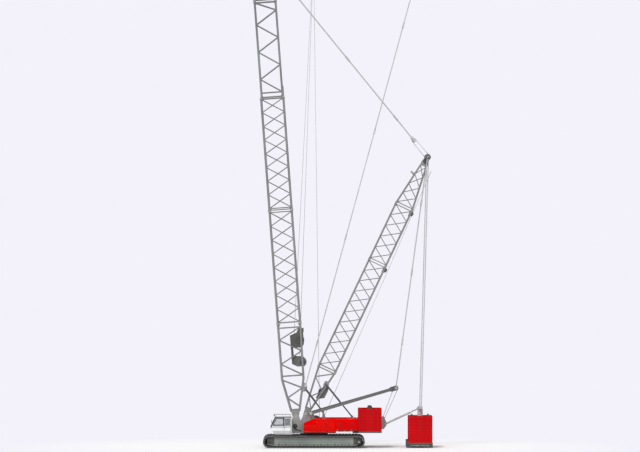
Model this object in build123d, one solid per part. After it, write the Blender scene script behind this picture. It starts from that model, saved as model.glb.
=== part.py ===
from build123d import *
import math
import os

os.makedirs("parts", exist_ok=True)

# Crawler crane with luffing jib and derrick mast, scale model 1:10.
# Millimetres, Z up, ground at Z = 0, crane faces -X, its left side is -Y.

seat = 0.3
pin_gap = 0.5
sides = {"left": -1, "right": 1}

# Crawlers
track_length = 1080
track_height = 130
shoe_width = 150
shoe_count = 66
shoe_gap = 4
grouser = 6
belt_thickness = 18
gauge = 720
frame_width = 116
frame_wall = 8
wheel_x = 475
beam_front = -410
beam_rear = 405
nose_reach = 18
roller_count = 11
roller_pitch = 74
roller_radius = 14
roller_axle = 6
drive_teeth = 13
tooth_height = 5
hub_radius = 20
panel_splits = (-330, -145, 139, 340)
panel_depth = 3
panel_margin = 9

# Car body and slew ring
car_half = 170
car_bottom = 52
beam_x = 175
beam_width = 120
beam_height = 56
ring_radius = 150
ring_bore = 112
ring_height = 20
tow_bore = 8
tow_z = 79

# Revolving frame
deck_z = 300
girder_in = 92
girder_out = 152
frame_front = -245
frame_rear = 468
boom_pivot = (-190, 319)
mast_pivot = (-88, 350)
gantry_pivot = (-31, 361)
boom_leg_y = 128
boom_lug_width = 22
mast_leg_y = 100
mast_lug_width = 16
pin_radius = 12
ear_thickness = 12

# Machine houses
house_front = -108
house_z = 165
house_top = 306
house_width = 148

# Cab
cab_out = 300
cab_width = 115
cab_wall = 6
cab_rear = -234
cab_front_top = (-408, 330)
cab_nose = (-461, 212)
cab_chin = (-434, 170)
cab_toe = (-412, 139)
glass = 3

# Counterweight
weight_x = (470, 718)
weight_base_z = 158
weight_base_height = 14
weight_top = 411
weight_half = 325
weight_gap = 60
slab_count = 8
slab_groove = 2

# Boom
boom_angle = 94.26
boom_depth = 236
boom_width = 256
boom_chord = 23
light_depth = 222
light_chord = 21
lacing = 11
boom_foot_length = 1000
collar_step = 7
collar_length = 16
boom_section = 1200
boom_upper_length = 1030
boom_head_length = 500
kink = 405

# Derrick mast
mast_angle = 64.6
mast_depth = 189
mast_width = 200
mast_chord = 18
mast_lacing = 9
mast_foot_length = 530
mast_lower_length = 1250
mast_upper_length = 660
mast_head_length = 580

# Jib and struts
jib_angle = 103.3
jib_depth = 150
jib_width = 168
jib_chord = 16
jib_lacing = 8
jib_foot_length = 560
jib_middle_length = 1260
jib_head_length = 580
strut_length = 1650
front_strut_angle = 33
rear_strut_angle = -2.9
strut_leg = 26

# Gantry
gantry_length = 941.4
gantry_angle = 16.41
gantry_leg_y = 194
gantry_leg_width = 28
gantry_leg_depth = 28

# Derrick ballast
ballast_x = (1000, 1254)
ballast_z = (53, 332)
ballast_half = 330
ballast_gap = 45
tray_height = 28
hanger_x = 1127
hanger_top = 435

# Ropes and guys
guy = 10
rope = 4
sheave_groove = 6


def box(x0, x1, y0, y1, z0, z1):
    return Pos((x0 + x1) / 2, (y0 + y1) / 2, (z0 + z1) / 2) * Box(x1 - x0, y1 - y0, z1 - z0)


def bar(a, b, diameter):
    start = Vector(*a)
    run = Vector(*b) - start
    return Solid.make_cylinder(diameter / 2, run.length, Plane(origin=start, z_dir=run))


def plate(outline, y0, y1):
    """Closed outline of (x, z) points, extruded from y0 to y1."""
    points = [Vector(x, y0, z) for x, z in outline]
    face = Face(Wire.make_polygon(points, close=True))
    return Solid.extrude(face, Vector(0, y1 - y0, 0))


def disc(x, z, radius, y0, y1):
    return Solid.make_cylinder(radius, abs(y1 - y0), Plane(origin=(x, min(y0, y1), z), z_dir=(0, 1, 0)))


def both(shape):
    """The shape and its mirror image across the crane's middle plane."""
    return [shape, mirror(shape, about=Plane.XZ)]


def join(shapes):
    shapes = list(shapes)
    if len(shapes) == 1:
        return shapes[0]
    return shapes[0].fuse(*shapes[1:])


def aim(point, angle):
    """Plane whose local Z points along the angle from +X towards +Z, with local Y along +Y."""
    a = math.radians(angle)
    direction = (math.cos(a), 0, math.sin(a))
    return Plane(origin=(point[0], 0, point[1]), x_dir=(math.sin(a), 0, -math.cos(a)), z_dir=direction)


def along(point, angle, length, side=0):
    a = math.radians(angle)
    x = point[0] + length * math.cos(a) + side * math.sin(a)
    z = point[1] + length * math.sin(a) - side * math.cos(a)
    return (x, z)


def save(name, shape):
    shapes = shape if isinstance(shape, (list, tuple, ShapeList)) else [shape]
    solids = []
    for item in shapes:
        solids += list(item.solids())
    out = solids[0] if len(solids) == 1 else Compound(children=[Solid(s.wrapped) for s in solids])
    out.label = name
    export_step(out, f"parts/{name}.step")


def lattice(start, end, bays, chord, lace, crossed=True, inset=(14, 14), ends=(True, True),
            faces=(True, True), more=(), frames=()):
    """Four chords with zigzag lacing on every side, along local Z.
    start and end are (z, front, rear, half width): chord centres at local x front and rear.
    inset is the way from each end to the lacing, more are nodes past its last bay and frames are
    extra cross frames, all measured from the start. Closed ends carry a frame and collars."""
    length = end[0] - start[0]

    def corner(distance, rear, right):
        z, front, back, half = [s + (e - s) * distance / length for s, e in zip(start, end)]
        return (back if rear else front, half if right else -half, z)

    collar = chord + collar_step
    bars = []
    for rear in (False, True):
        for right in (False, True):
            a, b = corner(0, rear, right), corner(length, rear, right)
            lean = math.hypot(b[0] - a[0], b[1] - a[1]) / length
            first, last = [(collar if closed else chord) / 2 * lean for closed in ends]
            bars.append(bar(corner(first, rear, right), corner(length - last, rear, right), chord))
            if ends[0]:
                bars.append(bar(corner(first, rear, right), corner(collar_length, rear, right), collar))
            if ends[1]:
                collar_start = corner(length - collar_length, rear, right)
                bars.append(bar(collar_start, corner(length - last, rear, right), collar))
    step = (length - inset[0] - inset[1]) / bays
    nodes = [inset[0] + i * step for i in range(bays + 1)] + list(more)
    for i, (low, high) in enumerate(zip(nodes, nodes[1:])):
        up = i % 2 == 0
        for right in (False, True):
            turn = up != (right and crossed)
            bars.append(bar(corner(low, turn, right), corner(high, not turn, right), lace))
        for rear in (False, True):
            if faces[rear]:
                turn = up != (rear and crossed)
                bars.append(bar(corner(low, rear, turn), corner(high, rear, not turn), lace))
    closed = list(frames)
    if ends[0]:
        closed.append(nodes[0])
    if ends[1]:
        closed.append(nodes[-1])
    for distance in closed:
        for side in (False, True):
            bars.append(bar(corner(distance, False, side), corner(distance, True, side), lace))
            if faces[side]:
                bars.append(bar(corner(distance, side, False), corner(distance, side, True), lace))
    return join(bars)


def sheave(x, z, radius, y, width, bore):
    """Grooved rope wheel on an axis along Y."""
    half = width / 2
    flange = (width - sheave_groove) / 2
    root = radius - sheave_groove
    points = [(bore, -half), (radius, -half), (radius, -half + flange), (root, -half + flange + 1)]
    points += [(root, half - flange - 1), (radius, half - flange), (radius, half), (bore, half)]
    face = Face(Wire.make_polygon([Vector(r, h, 0) for r, h in points], close=True))
    return Pos(x, y, z) * Solid.revolve(face, 360, Axis.Y)


# Tracks: one closed loop a side, its shoes stepped in the outline
def loop_point(distance, offset):
    """Point at a distance along the loop, offset inwards from its outer line."""
    r = track_height / 2
    run = track_length - 2 * r
    arc = math.pi * r
    s = distance % (2 * run + 2 * arc)
    if s < run:
        return (-run / 2 + s, track_height - offset)
    s -= run
    if s < arc:
        a = s / r
        return (run / 2 + (r - offset) * math.sin(a), r + (r - offset) * math.cos(a))
    s -= arc
    if s < run:
        return (run / 2 - s, offset)
    a = (s - run) / r
    return (-run / 2 - (r - offset) * math.sin(a), r - (r - offset) * math.cos(a))


def track(y):
    r = track_height / 2
    total = 2 * (track_length - 2 * r) + 2 * math.pi * r
    pitch = total / shoe_count
    outline = []
    for i in range(shoe_count):
        s = i * pitch
        outline.append(loop_point(s + shoe_gap, 0))
        outline.append(loop_point(s + pitch - shoe_gap, 0))
        outline.append(loop_point(s + pitch - shoe_gap, grouser))
        outline.append(loop_point(s + pitch + shoe_gap, grouser))
    belt = plate(outline, y - shoe_width / 2, y + shoe_width / 2)
    inner = r - belt_thickness
    run = track_length / 2 - r
    hole = join([
        box(-run, run, y - shoe_width, y + shoe_width, belt_thickness, track_height - belt_thickness),
        disc(-run, r, inner, y - shoe_width, y + shoe_width),
        disc(run, r, inner, y - shoe_width, y + shoe_width),
    ])
    return belt - hole


def crawler_frame(y):
    side = 1 if y > 0 else -1
    y0, y1 = y - frame_width / 2, y + frame_width / 2
    floor = belt_thickness + 2 * roller_radius + seat
    roof = track_height - belt_thickness - seat
    skirt = belt_thickness + roller_radius - roller_axle - 2
    tip = wheel_x + nose_reach
    beam = box(beam_front, beam_rear, y0, y1, floor, roof)
    skirts = [box(beam_front, beam_rear, a, a + frame_wall, skirt, floor) for a in (y0, y1 - frame_wall)]
    noses = []
    for a in (y0, y1 - frame_wall):
        for root, end in ((beam_front, -tip), (beam_rear, tip)):
            nose = [(root, skirt), (root, roof), (end, roof - 12), (end, skirt + 14)]
            noses.append(plate(nose, a, a + frame_wall))
    outer = y1 if side > 0 else y0
    panels = []
    for left, right in zip(panel_splits, panel_splits[1:]):
        panels.append(box(left + panel_margin, right - panel_margin, outer - panel_depth, outer + panel_depth,
                          floor + panel_margin, roof - panel_margin))
    holes = []
    for x in (-wheel_x, wheel_x):
        holes.append(disc(x, track_height / 2, roller_axle + pin_gap / 2, y0 - 1, y1 + 1))
    return join([beam] + skirts + noses) - join(panels + holes)


def rollers(y):
    reach = frame_width / 2 - frame_wall
    out = []
    z = belt_thickness + roller_radius
    first = -roller_pitch * (roller_count - 1) / 2
    profile = [
        # radius, place along the axle
        (0, -reach), (roller_axle, -reach), (roller_axle, -38), (roller_radius, -38),
        (roller_radius, -26), (roller_radius - 4, -26), (roller_radius - 4, 26), (roller_radius, 26),
        (roller_radius, 38), (roller_axle, 38), (roller_axle, reach), (0, reach),
    ]
    face = Face(Wire.make_polygon([Vector(r, h, 0) for r, h in profile], close=True))
    one = Solid.revolve(face, 360, Axis.Y)
    for i in range(roller_count):
        out.append(Pos(first + i * roller_pitch, y, z) * one)
    half = frame_width / 2
    rim = track_height / 2 - belt_thickness - seat
    idler = [
        # radius, place along the axle
        (0, -half), (roller_axle, -half), (roller_axle, -40), (hub_radius, -40),
        (hub_radius, -24), (rim - 10, -16), (rim - 10, -24), (rim, -24),
        (rim, 24), (rim - 10, 24), (rim - 10, 16), (hub_radius, 24),
        (hub_radius, 40), (roller_axle, 40), (roller_axle, half), (0, half),
    ]
    face = Face(Wire.make_polygon([Vector(r, h, 0) for r, h in idler], close=True))
    out.append(Pos(-wheel_x, y, track_height / 2) * Solid.revolve(face, 360, Axis.Y))
    return out


def sprocket(y):
    x, z = wheel_x, track_height / 2
    root = track_height / 2 - belt_thickness - seat - tooth_height
    crest = root + tooth_height
    outline = []
    for i in range(drive_teeth):
        for share, radius in ((0.0, root), (0.3, root), (0.42, crest), (0.58, crest), (0.7, root)):
            a = 2 * math.pi * (i + share) / drive_teeth
            outline.append((x + radius * math.cos(a), z + radius * math.sin(a)))
    half = frame_width / 2
    wheels = [plate(outline, y + a, y + a + 10) for a in (-28, 18)]
    drum = disc(x, z, root - 12, y - 22, y + 22)
    hub = disc(x, z, hub_radius, y - half + frame_wall + seat, y + half - frame_wall - seat)
    axle = disc(x, z, roller_axle, y - half, y + half)
    return join(wheels + [drum, hub, axle])


for name, side in sides.items():
    centre = side * gauge / 2
    save("track_" + name, track(centre))
    save("crawler_frame_" + name, crawler_frame(centre))
    save("rollers_" + name, rollers(centre))
    save("sprocket_" + name, sprocket(centre))

# Car body with its two cross beams, and the slew ring on top
frame_face = gauge / 2 - frame_width / 2
car_top = track_height
car = [box(-car_half, car_half, -car_half, car_half, car_bottom, car_top)]
for x in (-beam_x, beam_x):
    car.append(box(x - beam_width / 2, x + beam_width / 2, -frame_face, frame_face, car_bottom,
                   car_bottom + beam_height))
body = join(car)
body = body - Solid.make_cylinder(ring_bore, 200, Plane(origin=(0, 0, car_bottom + 12), z_dir=(0, 0, 1)))
lugs = []
for x in (-1, 1):
    edge = x * (beam_x + beam_width / 2)
    for y in (-110, 110):
        lug = box(min(edge, edge + x * 28), max(edge, edge + x * 28), y - 15, y + 15, tow_z - 6, tow_z + 6)
        eye = Plane(origin=(edge + x * 14, y, tow_z - 10), z_dir=(0, 0, 1))
        lugs.append(lug - Solid.make_cylinder(tow_bore, 20, eye))
save("car_body", join([body] + lugs))
ring = Solid.make_cylinder(ring_radius, ring_height - seat, Plane(origin=(0, 0, car_top), z_dir=(0, 0, 1)))
groove = Solid.make_cylinder(ring_radius + 5, 4, Plane(origin=(0, 0, car_top + 8), z_dir=(0, 0, 1)))
groove = groove - Solid.make_cylinder(ring_radius - 4, 4, Plane(origin=(0, 0, car_top + 8), z_dir=(0, 0, 1)))
ring = ring - Solid.make_cylinder(ring_bore, 60, Plane(origin=(0, 0, car_top - 10), z_dir=(0, 0, 1))) - groove
save("slew_ring", ring)

# Revolving frame: two girders on a bottom plate, with the ears of boom, mast and gantry
frame_bottom = car_top + ring_height
plate_height = 16
parts = []
girder = [
    (frame_front, frame_bottom), (frame_front, deck_z - 20), (-140, deck_z - 20), (-120, deck_z),
    (frame_rear, deck_z), (frame_rear, frame_bottom),
]
parts += both(plate(girder, girder_in, girder_out))
parts.append(box(frame_front, frame_rear, -girder_in, girder_in, frame_bottom, frame_bottom + plate_height))
bulkheads = (
    # front face, rear face, top
    (frame_front, frame_front + 16, deck_z - 20),
    (180, 194, deck_z),
    (340, 354, deck_z),
    (454, frame_rear, deck_z),
)
for x0, x1, top in bulkheads:
    parts.append(box(x0, x1, -girder_in, girder_in, frame_bottom, top))
parts.append(box(340, frame_rear, -girder_in, girder_in, deck_z - 12, deck_z))
bx, bz = boom_pivot
boom_ear = [
    (bx - 50, deck_z - 30), (bx - 26, bz + 24), (bx - 12, bz + 30),
    (bx + 12, bz + 30), (bx + 26, bz + 24), (bx + 50, deck_z - 30),
]
gap = boom_lug_width / 2 + pin_gap
for y in (boom_leg_y - gap - ear_thickness, boom_leg_y + gap):
    parts += both(plate(boom_ear, y, y + ear_thickness))
parts += both(disc(bx, bz, pin_radius, boom_leg_y - gap - ear_thickness, boom_leg_y + gap + ear_thickness))
mx, mz = mast_pivot
mast_ear = [
    (mx - 40, deck_z - 8), (mx - 20, mz + 16), (mx - 10, mz + 22),
    (mx + 10, mz + 22), (mx + 20, mz + 16), (mx + 44, deck_z - 8),
]
gap = mast_lug_width / 2 + pin_gap
parts += both(plate(mast_ear, mast_leg_y + gap, mast_leg_y + gap + ear_thickness))
parts += both(disc(mx, mz, pin_radius, mast_leg_y - gap - 4, mast_leg_y + gap + ear_thickness))
parts += both(disc(mx, mz, pin_radius + 5, mast_leg_y - gap - 4, mast_leg_y - gap))
gx, gz = gantry_pivot
gantry_ear = [(gx - 42, deck_z - 8), (gx - 22, gz + 18), (gx + 22, gz + 18), (gx + 46, deck_z - 8)]
gantry_in = gantry_leg_y - gantry_leg_width / 2 - pin_gap
gantry_out = gantry_leg_y + gantry_leg_width / 2 + pin_gap
parts += both(plate(gantry_ear, girder_out - ear_thickness, girder_out))
parts += both(disc(gx, gz, pin_radius + 6, girder_out, gantry_in))
parts += both(disc(gx, gz, pin_radius, girder_out - 2, gantry_out + 5))
parts += both(disc(gx, gz, pin_radius + 5, gantry_out, gantry_out + 5))

# Backstops of boom and mast rest against pads on the girders
stop_tube = 17
stop_rod = 11
lug_clear = 0.5
stop_pin = 5.5
boom_stop_lug = (boom_depth / 2 + 8, 285)
boom_guy_lug = (boom_depth / 2 + 8, 327)
boom_lug_plate = 16
mast_stop_lug = (53, 381)
mast_lug_plate = 20
boom_stop = (along(boom_pivot, boom_angle, boom_stop_lug[1], boom_stop_lug[0]), (97, 372))
boom_stop_y = boom_leg_y + boom_lug_plate / 2 + lug_clear + stop_tube / 2
mast_stop = (along(mast_pivot, mast_angle, mast_stop_lug[1], mast_stop_lug[0]), (405, 322))
mast_stop_y = mast_leg_y + mast_lug_plate / 2 + lug_clear + stop_tube / 2
pad_radius = 11
pad_height = 8
for (top, foot), y in ((boom_stop, boom_stop_y), (mast_stop, mast_stop_y)):
    angle = math.degrees(math.atan2(foot[1] - top[1], foot[0] - top[0]))
    plane = aim(foot, angle)
    outward = (0, 0, 1)
    pad = Solid.make_cylinder(pad_radius, pad_height, Plane(origin=(0, y, seat), z_dir=outward))
    pad = plane.location * pad
    x, z = along(foot, angle, seat + pad_height - 2)
    stand = plate([(x - 16, deck_z - 6), (x - 7, z - 5), (x + 6, z + 3), (x + 26, deck_z - 6)], y - 7, y + 7)
    room = plane.location * Solid.make_cylinder(60, 60, Plane(origin=(0, y, seat - 60), z_dir=outward))
    parts += both(join([pad, stand - room]))

# Tail that carries the counterweight, and the arm that carries the cab
tail_half = weight_gap - 4
tail_rear = weight_x[1] - 2
tail_bottom = weight_base_z + weight_base_height + seat
tail = [
    (frame_rear, tail_bottom), (frame_rear, deck_z), (frame_rear + 40, deck_z + 25),
    (tail_rear, deck_z + 25), (tail_rear, tail_bottom),
]
parts.append(plate(tail, -tail_half, tail_half))
cab_in = cab_out - cab_width
parts.append(box(-380, frame_front + 20, -cab_in + seat, -girder_in, frame_bottom, frame_bottom + 30))
save("revolving_frame", join(parts))

# Machine houses with service doors and air slots marked in their sides
def house(side):
    y0 = girder_out + seat
    y1 = y0 + house_width
    outline = [
        (house_front, house_z), (house_front, 260), (0, house_top), (frame_rear, house_top),
        (frame_rear, 186), (224, 186), (224, house_z),
    ]
    shape = plate(outline, y0, y1)
    cuts = []
    for x0, x1, z1 in ((-90, 20, house_top - 54), (28, 120, house_top - 12), (128, 216, house_top - 12)):
        z0 = house_z + 12
        frame = box(x0, x1, y1 - 1.5, y1 + 1, z0, z1) - box(x0 + 2, x1 - 2, y1 - 3, y1 + 2, z0 + 2, z1 - 2)
        cuts.append(frame)
    for i in range(9):
        cuts.append(box(240, 330, y1 - 4, y1 + 1, 206 + i * 9, 210 + i * 9))
        cuts.append(box(350, 440, y1 - 4, y1 + 1, 206 + i * 9, 210 + i * 9))
    shape = shape - cuts
    return shape if side > 0 else mirror(shape, about=Plane.XZ)


for name, side in sides.items():
    save("house_" + name, house(side))

# Counterweight
base_top = weight_base_z + weight_base_height
save("counterweight_base", box(frame_rear + seat, weight_x[1], -weight_half, weight_half, weight_base_z,
                               base_top))
slab = (weight_top - base_top) / slab_count
stack = box(frame_rear + seat, weight_x[1], weight_gap, weight_half, base_top, weight_top)
grooves = []
for i in range(1, slab_count):
    z = base_top + i * slab
    ring = box(weight_x[0] - 10, weight_x[1] + 10, weight_gap - 10, weight_half + 10, z - slab_groove / 2,
               z + slab_groove / 2)
    core = box(weight_x[0] + 4, weight_x[1] - 4, weight_gap + 4, weight_half - 4, z - slab_groove,
               z + slab_groove)
    grooves.append(ring - core)
stack = stack - grooves
lift_bore = 7
lugs = []
for y in (weight_gap + 50, weight_half - 50):
    lug = plate([(566, weight_top - 1), (578, weight_top + 24), (608, weight_top + 24),
                 (620, weight_top - 1)], y - 6, y + 6)
    lugs.append(lug - disc(593, weight_top + 12, lift_bore, y - 10, y + 10))
save("counterweight_slabs", both(join([stack] + lugs)))

# Rope wheels and guide hinge behind the counterweight
guide_pivot = (755, 244)
guide_pin = 8
guide_lug = 17
guide_tube_radius = 11
guide_rod_radius = 7
cheek = [(tail_rear + seat, 191), (tail_rear + seat, 322), (742, 329), (770, 262), (771, 232), (742, 191)]
rear = both(plate(cheek, 15, 24))
rear.append(box(tail_rear + seat, tail_rear + 6, -24, 24, 191, 322))
rear.append(disc(guide_pivot[0], guide_pivot[1], guide_pin, -26, 26))
rear.append(disc(740, 306, 5, -24, 24))
save("rear_sheaves", [join(rear)] + [sheave(740, 306, 14, y, 12, 5 + pin_gap / 2) for y in (-7.5, 7.5)])

# Hoist winches between the girders, their shaft ends flat against the webs
def winch(x, z, barrel, flange, half, reach):
    rim = 7
    points = [
        (0, -reach), (14, -reach), (14, -half), (flange, -half), (flange, -half + rim), (barrel, -half + rim),
        (barrel, half - rim), (flange, half - rim), (flange, half), (14, half), (14, reach), (0, reach),
    ]
    face = Face(Wire.make_polygon([Vector(r, h, 0) for r, h in points], close=True))
    return Pos(x, 0, z) * Solid.revolve(face, 360, Axis.Y)


winches = (
    # x, z, drum radius, flange radius
    (-82, 285, 36, 50),
    (22, 285, 36, 50),
    (124, 262, 36, 50),
    (262, 250, 44, 60),
)
save("hoist_winches", [winch(x, z, barrel, flange, 76, girder_in) for x, z, barrel, flange in winches])

# Cab
cab_outline = [cab_front_top, cab_nose, cab_chin, cab_toe]
cab_outline += [(cab_rear, cab_toe[1]), (cab_rear, cab_front_top[1])]
outer_face = Face(Wire.make_polygon([Vector(x, 0, z) for x, z in cab_outline], close=True))
inner_wire = outer_face.outer_wire().offset_2d(-cab_wall, kind=Kind.INTERSECTION)
inner_face = Face(inner_wire)
y0, y1 = -cab_out, -cab_out + cab_width
shell = Pos(0, y0, 0) * Solid.extrude(outer_face, Vector(0, cab_width, 0))
room = Pos(0, y0 + cab_wall, 0) * Solid.extrude(inner_face, Vector(0, cab_width - 2 * cab_wall, 0))
post = 9
side_window = [(-318, 239), (-318, 312), (-398, 312), (-431, 239)]
front_slope = (cab_front_top[0] - cab_nose[0]) / (cab_front_top[1] - cab_nose[1])


def front_pane(bottom, top, inner, outer, left, right):
    """Slab parallel to the sloped front, between two depths behind it."""
    low = cab_nose[0] + (bottom - cab_nose[1]) * front_slope
    high = cab_nose[0] + (top - cab_nose[1]) * front_slope
    outline = [(low + outer, bottom), (high + outer, top), (high + inner, top), (low + inner, bottom)]
    return plate(outline, left, right)


window_z = (224, 316)
door_x = (-310, -250)
door_z = (150, 314)
rear_window = (y0 + 14, y1 - 14, 240, 308)
roof_window = (-392, -300, y0 + 16, y1 - 16)
cuts = [
    front_pane(window_z[0], window_z[1], 12, -6, y0 + post, y1 - post),
    plate(side_window, y0 - 2, y0 + cab_wall + 2),
    plate(side_window, y1 - cab_wall - 2, y1 + 2),
    box(cab_rear - cab_wall - 2, cab_rear + 2, *rear_window),
    box(roof_window[0], roof_window[1], roof_window[2], roof_window[3], cab_front_top[1] - cab_wall - 2,
        cab_front_top[1] + 2),
    box(door_x[0], door_x[1], y0 - 2, y0 + cab_wall + 2, door_z[0], door_z[1]),
]
shell = shell - room - join(cuts)
door_gap = 0.4
rail = 3
door_thick = 4
lap = 4
rail_out = y0 - door_gap - door_thick - 1
rail_top = door_z[1] + lap + door_gap
rail_low = door_z[0] - lap - door_gap
top_rail = box(door_x[0] - lap - 2, cab_rear, rail_out, y0 + 0.5, rail_top, rail_top + rail)
low_rail = box(door_x[0] - lap - 2, cab_rear, rail_out, y0 + 0.5, rail_low - rail, rail_low)
save("cab_shell", join([shell, top_rail, low_rail]))

fit = 0.3
panes = [front_pane(window_z[0] + fit, window_z[1] - fit, 6, 2, y0 + post + fit, y1 - post - fit)]
small = [(-318 - fit, 239 + fit), (-318 - fit, 312 - fit), (-398, 312 - fit), (-431 + 2 * fit, 239 + fit)]
for y in (y0 + 1.5, y1 - 1.5 - glass):
    panes.append(plate(small, y, y + glass))
panes.append(box(cab_rear - 1.5 - glass, cab_rear - 1.5, rear_window[0] + fit, rear_window[1] - fit,
                 rear_window[2] + fit, rear_window[3] - fit))
panes.append(box(roof_window[0] + fit, roof_window[1] - fit, roof_window[2] + fit, roof_window[3] - fit,
                 cab_front_top[1] - 1.5 - glass, cab_front_top[1] - 1.5))
save("cab_glass", panes)

door_outer = box(door_x[0] - lap, door_x[1] + lap, y0 - door_gap - door_thick, y0 - door_gap,
                 door_z[0] - lap, door_z[1] + lap)
pane = (door_x[0] + 5, door_x[1] - 5, 239, 306)
door = door_outer - box(pane[0], pane[1], y0 - 10, y0 + 1, pane[2], pane[3])
handle = box(door_x[0] + 2, door_x[0] + 6, y0 - door_gap - door_thick - 3,
             y0 - door_gap - door_thick + 0.5, 205, 230)
save("cab_door", join([door, handle]))
save("door_glass", box(pane[0] + fit, pane[1] - fit, y0 - door_gap - 3.5, y0 - door_gap - 0.5,
                       pane[2] + fit, pane[3] - fit))

floor = cab_toe[1] + cab_wall
seat_side = [(-330, floor), (-330, floor + 38), (-342, floor + 42), (-342, floor + 54),
             (-298, floor + 54), (-288, floor + 118),
             (-278, floor + 118), (-286, floor + 42), (-300, floor + 38), (-300, floor)]
middle = y0 + cab_width / 2
chair = plate(seat_side, middle - 20, middle + 20)
console = plate([(-400, floor), (-392, floor + 62), (-372, floor + 66), (-376, floor)], middle - 24,
                middle + 24)
save("cab_seat", [chair, console])

# Main boom, along local Z from its foot pins
boom = aim(boom_pivot, boom_angle)


def place(plane, shape):
    return plane.location * shape


def sided(shape):
    """The shape and its mirror across local Y = 0."""
    return [shape, mirror(shape, about=Plane.XZ)]


def ring_lug(z, x, y, width, radius, bore):
    """Eye with its hole along Y, centred on (x, z)."""
    return disc(x, z, radius, y - width / 2, y + width / 2) - disc(x, z, bore, y - width, y + width)


half = boom_depth / 2
wide = boom_width / 2
foot_z = 60
narrow = (foot_z, -44, 40, wide)
full = (kink, -half, half - 8, wide)
low = lattice(narrow, full, 3, boom_chord, lacing, crossed=False, inset=(50, 4), ends=(False, False))
top = lattice(full, (boom_foot_length, -half, half, wide), 4, boom_chord, lacing, crossed=False,
              inset=(35, 48), ends=(False, True), faces=(True, False), frames=(35,))
tie_places = ((half - 7, 440), (half - 5, 520), (half - 3, 690), (half, 984))
ties = [bar((x, -wide, z), (x, wide, z), lacing) for x, z in tie_places]
lug_radius = 28
lug_in, lug_out = wide - boom_lug_width / 2, wide + boom_lug_width / 2
foot_lug = plate([(-54, foot_z + 24), (-30, -4), (30, -4), (50, foot_z + 24)], lug_in, lug_out)
foot_lug = join([foot_lug, disc(0, 0, lug_radius, lug_in, lug_out)])
rear_outline = [
    (half - 28, 262), (half + 10, 268), (half + 22, 282),
    (half + 22, 330), (half + 12, 344), (half - 20, 356),
]
rear_lug = plate(rear_outline, wide - boom_lug_plate / 2, wide + boom_lug_plate / 2)
knees = [Pos(x, y, kink) * Sphere(boom_chord / 2) for x in (-half, half - 8) for y in (-wide, wide)]
foot = join([low, top] + ties + knees + sided(foot_lug) + sided(rear_lug))
bores = [disc(0, 0, pin_radius + pin_gap, wide - boom_lug_width, wide + boom_lug_width)]
bores += [disc(x, z, stop_pin + lug_clear, wide - 20, wide + 20) for x, z in (boom_stop_lug, boom_guy_lug)]
for bore in bores:
    foot = foot - sided(bore)
save("boom_foot", place(boom, foot))

z0 = boom_foot_length
heavy_start = (z0, -half, half, wide)
z1 = z0 + boom_section
heavy_joint = (z1, -half, half, wide)
save("boom_lower", place(boom, lattice(heavy_start, heavy_joint, 8, boom_chord, lacing, inset=(9, 16))))
z2 = z1 + boom_section
heavy_end = (z2, -half, half, wide)
save("boom_middle", place(boom, lattice(heavy_joint, heavy_end, 8, boom_chord, lacing, inset=(27, 9),
                                        frames=(9,))))
light = light_depth / 2
light_wide = wide - 4
light_end = (z2 + boom_upper_length, -light, light, light_wide)
upper = lattice((z2, -light, light, light_wide), light_end, 6, light_chord, lacing, crossed=False,
                inset=(56, 104), more=(boom_upper_length - 14,), frames=(9,))
guide_box = plate([(light, z2 + 2), (light + 17, z2 + 2), (light + 17, z2 + 116), (light, z2 + 122)],
                  light_wide - 9, light_wide + 9)
guide_bars = [bar((light + 10, -light_wide, z2 + z), (light + 10, light_wide, z2 + z), 10) for z in (30, 96)]
upper = join([upper] + sided(guide_box) + guide_bars)
save("boom_upper", place(boom, upper))

# Boom head: tapered lattice under two cheeks that carry the jib, the rear strut and the stays
z3 = z2 + boom_upper_length
cheek_in = 96
cheek_out = 110
head_z = z3 + boom_head_length
lattice_top = head_z - 150
head = lattice((z3, -light, light, light_wide), (lattice_top, -74, 74, 103), 2, light_chord, lacing,
               crossed=False, ends=(True, False))
jib_pin = (-42, head_z)
strut_pin = (42, head_z)
stay_pin = (58, head_z - 74)
pin = 9
lug = 24
cheek_outline = [
    (-88, lattice_top - 20), (-66, head_z + 12), (-56, head_z + 22), (56, head_z + 22),
    (68, head_z + 10), (84, head_z - 60), (88, lattice_top - 20),
]
cheek = plate(cheek_outline, cheek_in, cheek_out)
window = plate([(-44, lattice_top + 6), (-34, head_z - 76), (24, head_z - 76), (34, lattice_top + 6)],
               cheek_in - 5, cheek_out + 5)
cheek = cheek - window
cross = [box(x - 6, x + 6, -cheek_out, cheek_out, lattice_top, lattice_top + 40) for x in (-60, 66)]
lug_y = 84
lug_width = 16
head_pins = []
for x, z in (jib_pin, strut_pin):
    head_pins += sided(disc(x, z, pin, lug_y - lug_width / 2 - 4, cheek_out - 1))
    head_pins += sided(disc(x, z, pin + 4, lug_y - lug_width / 2 - 4, lug_y - lug_width / 2 - pin_gap))
stay_y = 119
stay_width = 10
head_pins += sided(disc(stay_pin[0], stay_pin[1], pin, cheek_out - 1, stay_y + stay_width / 2 + 5))
head_pins += sided(disc(stay_pin[0], stay_pin[1], pin + 4, stay_y + stay_width / 2 + pin_gap,
                        stay_y + stay_width / 2 + 5))
head_shaft_z = head_z - 52
shaft = disc(0, head_shaft_z, 8, -cheek_out + 2, cheek_out - 2)
head = join([head] + sided(cheek) + cross + head_pins + [shaft])
wheels = [sheave(0, head_shaft_z, 38, y, 14, 8 + pin_gap / 2) for y in (-45, -15, 15, 45)]
save("boom_head", [place(boom, s) for s in [head] + wheels])

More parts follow.
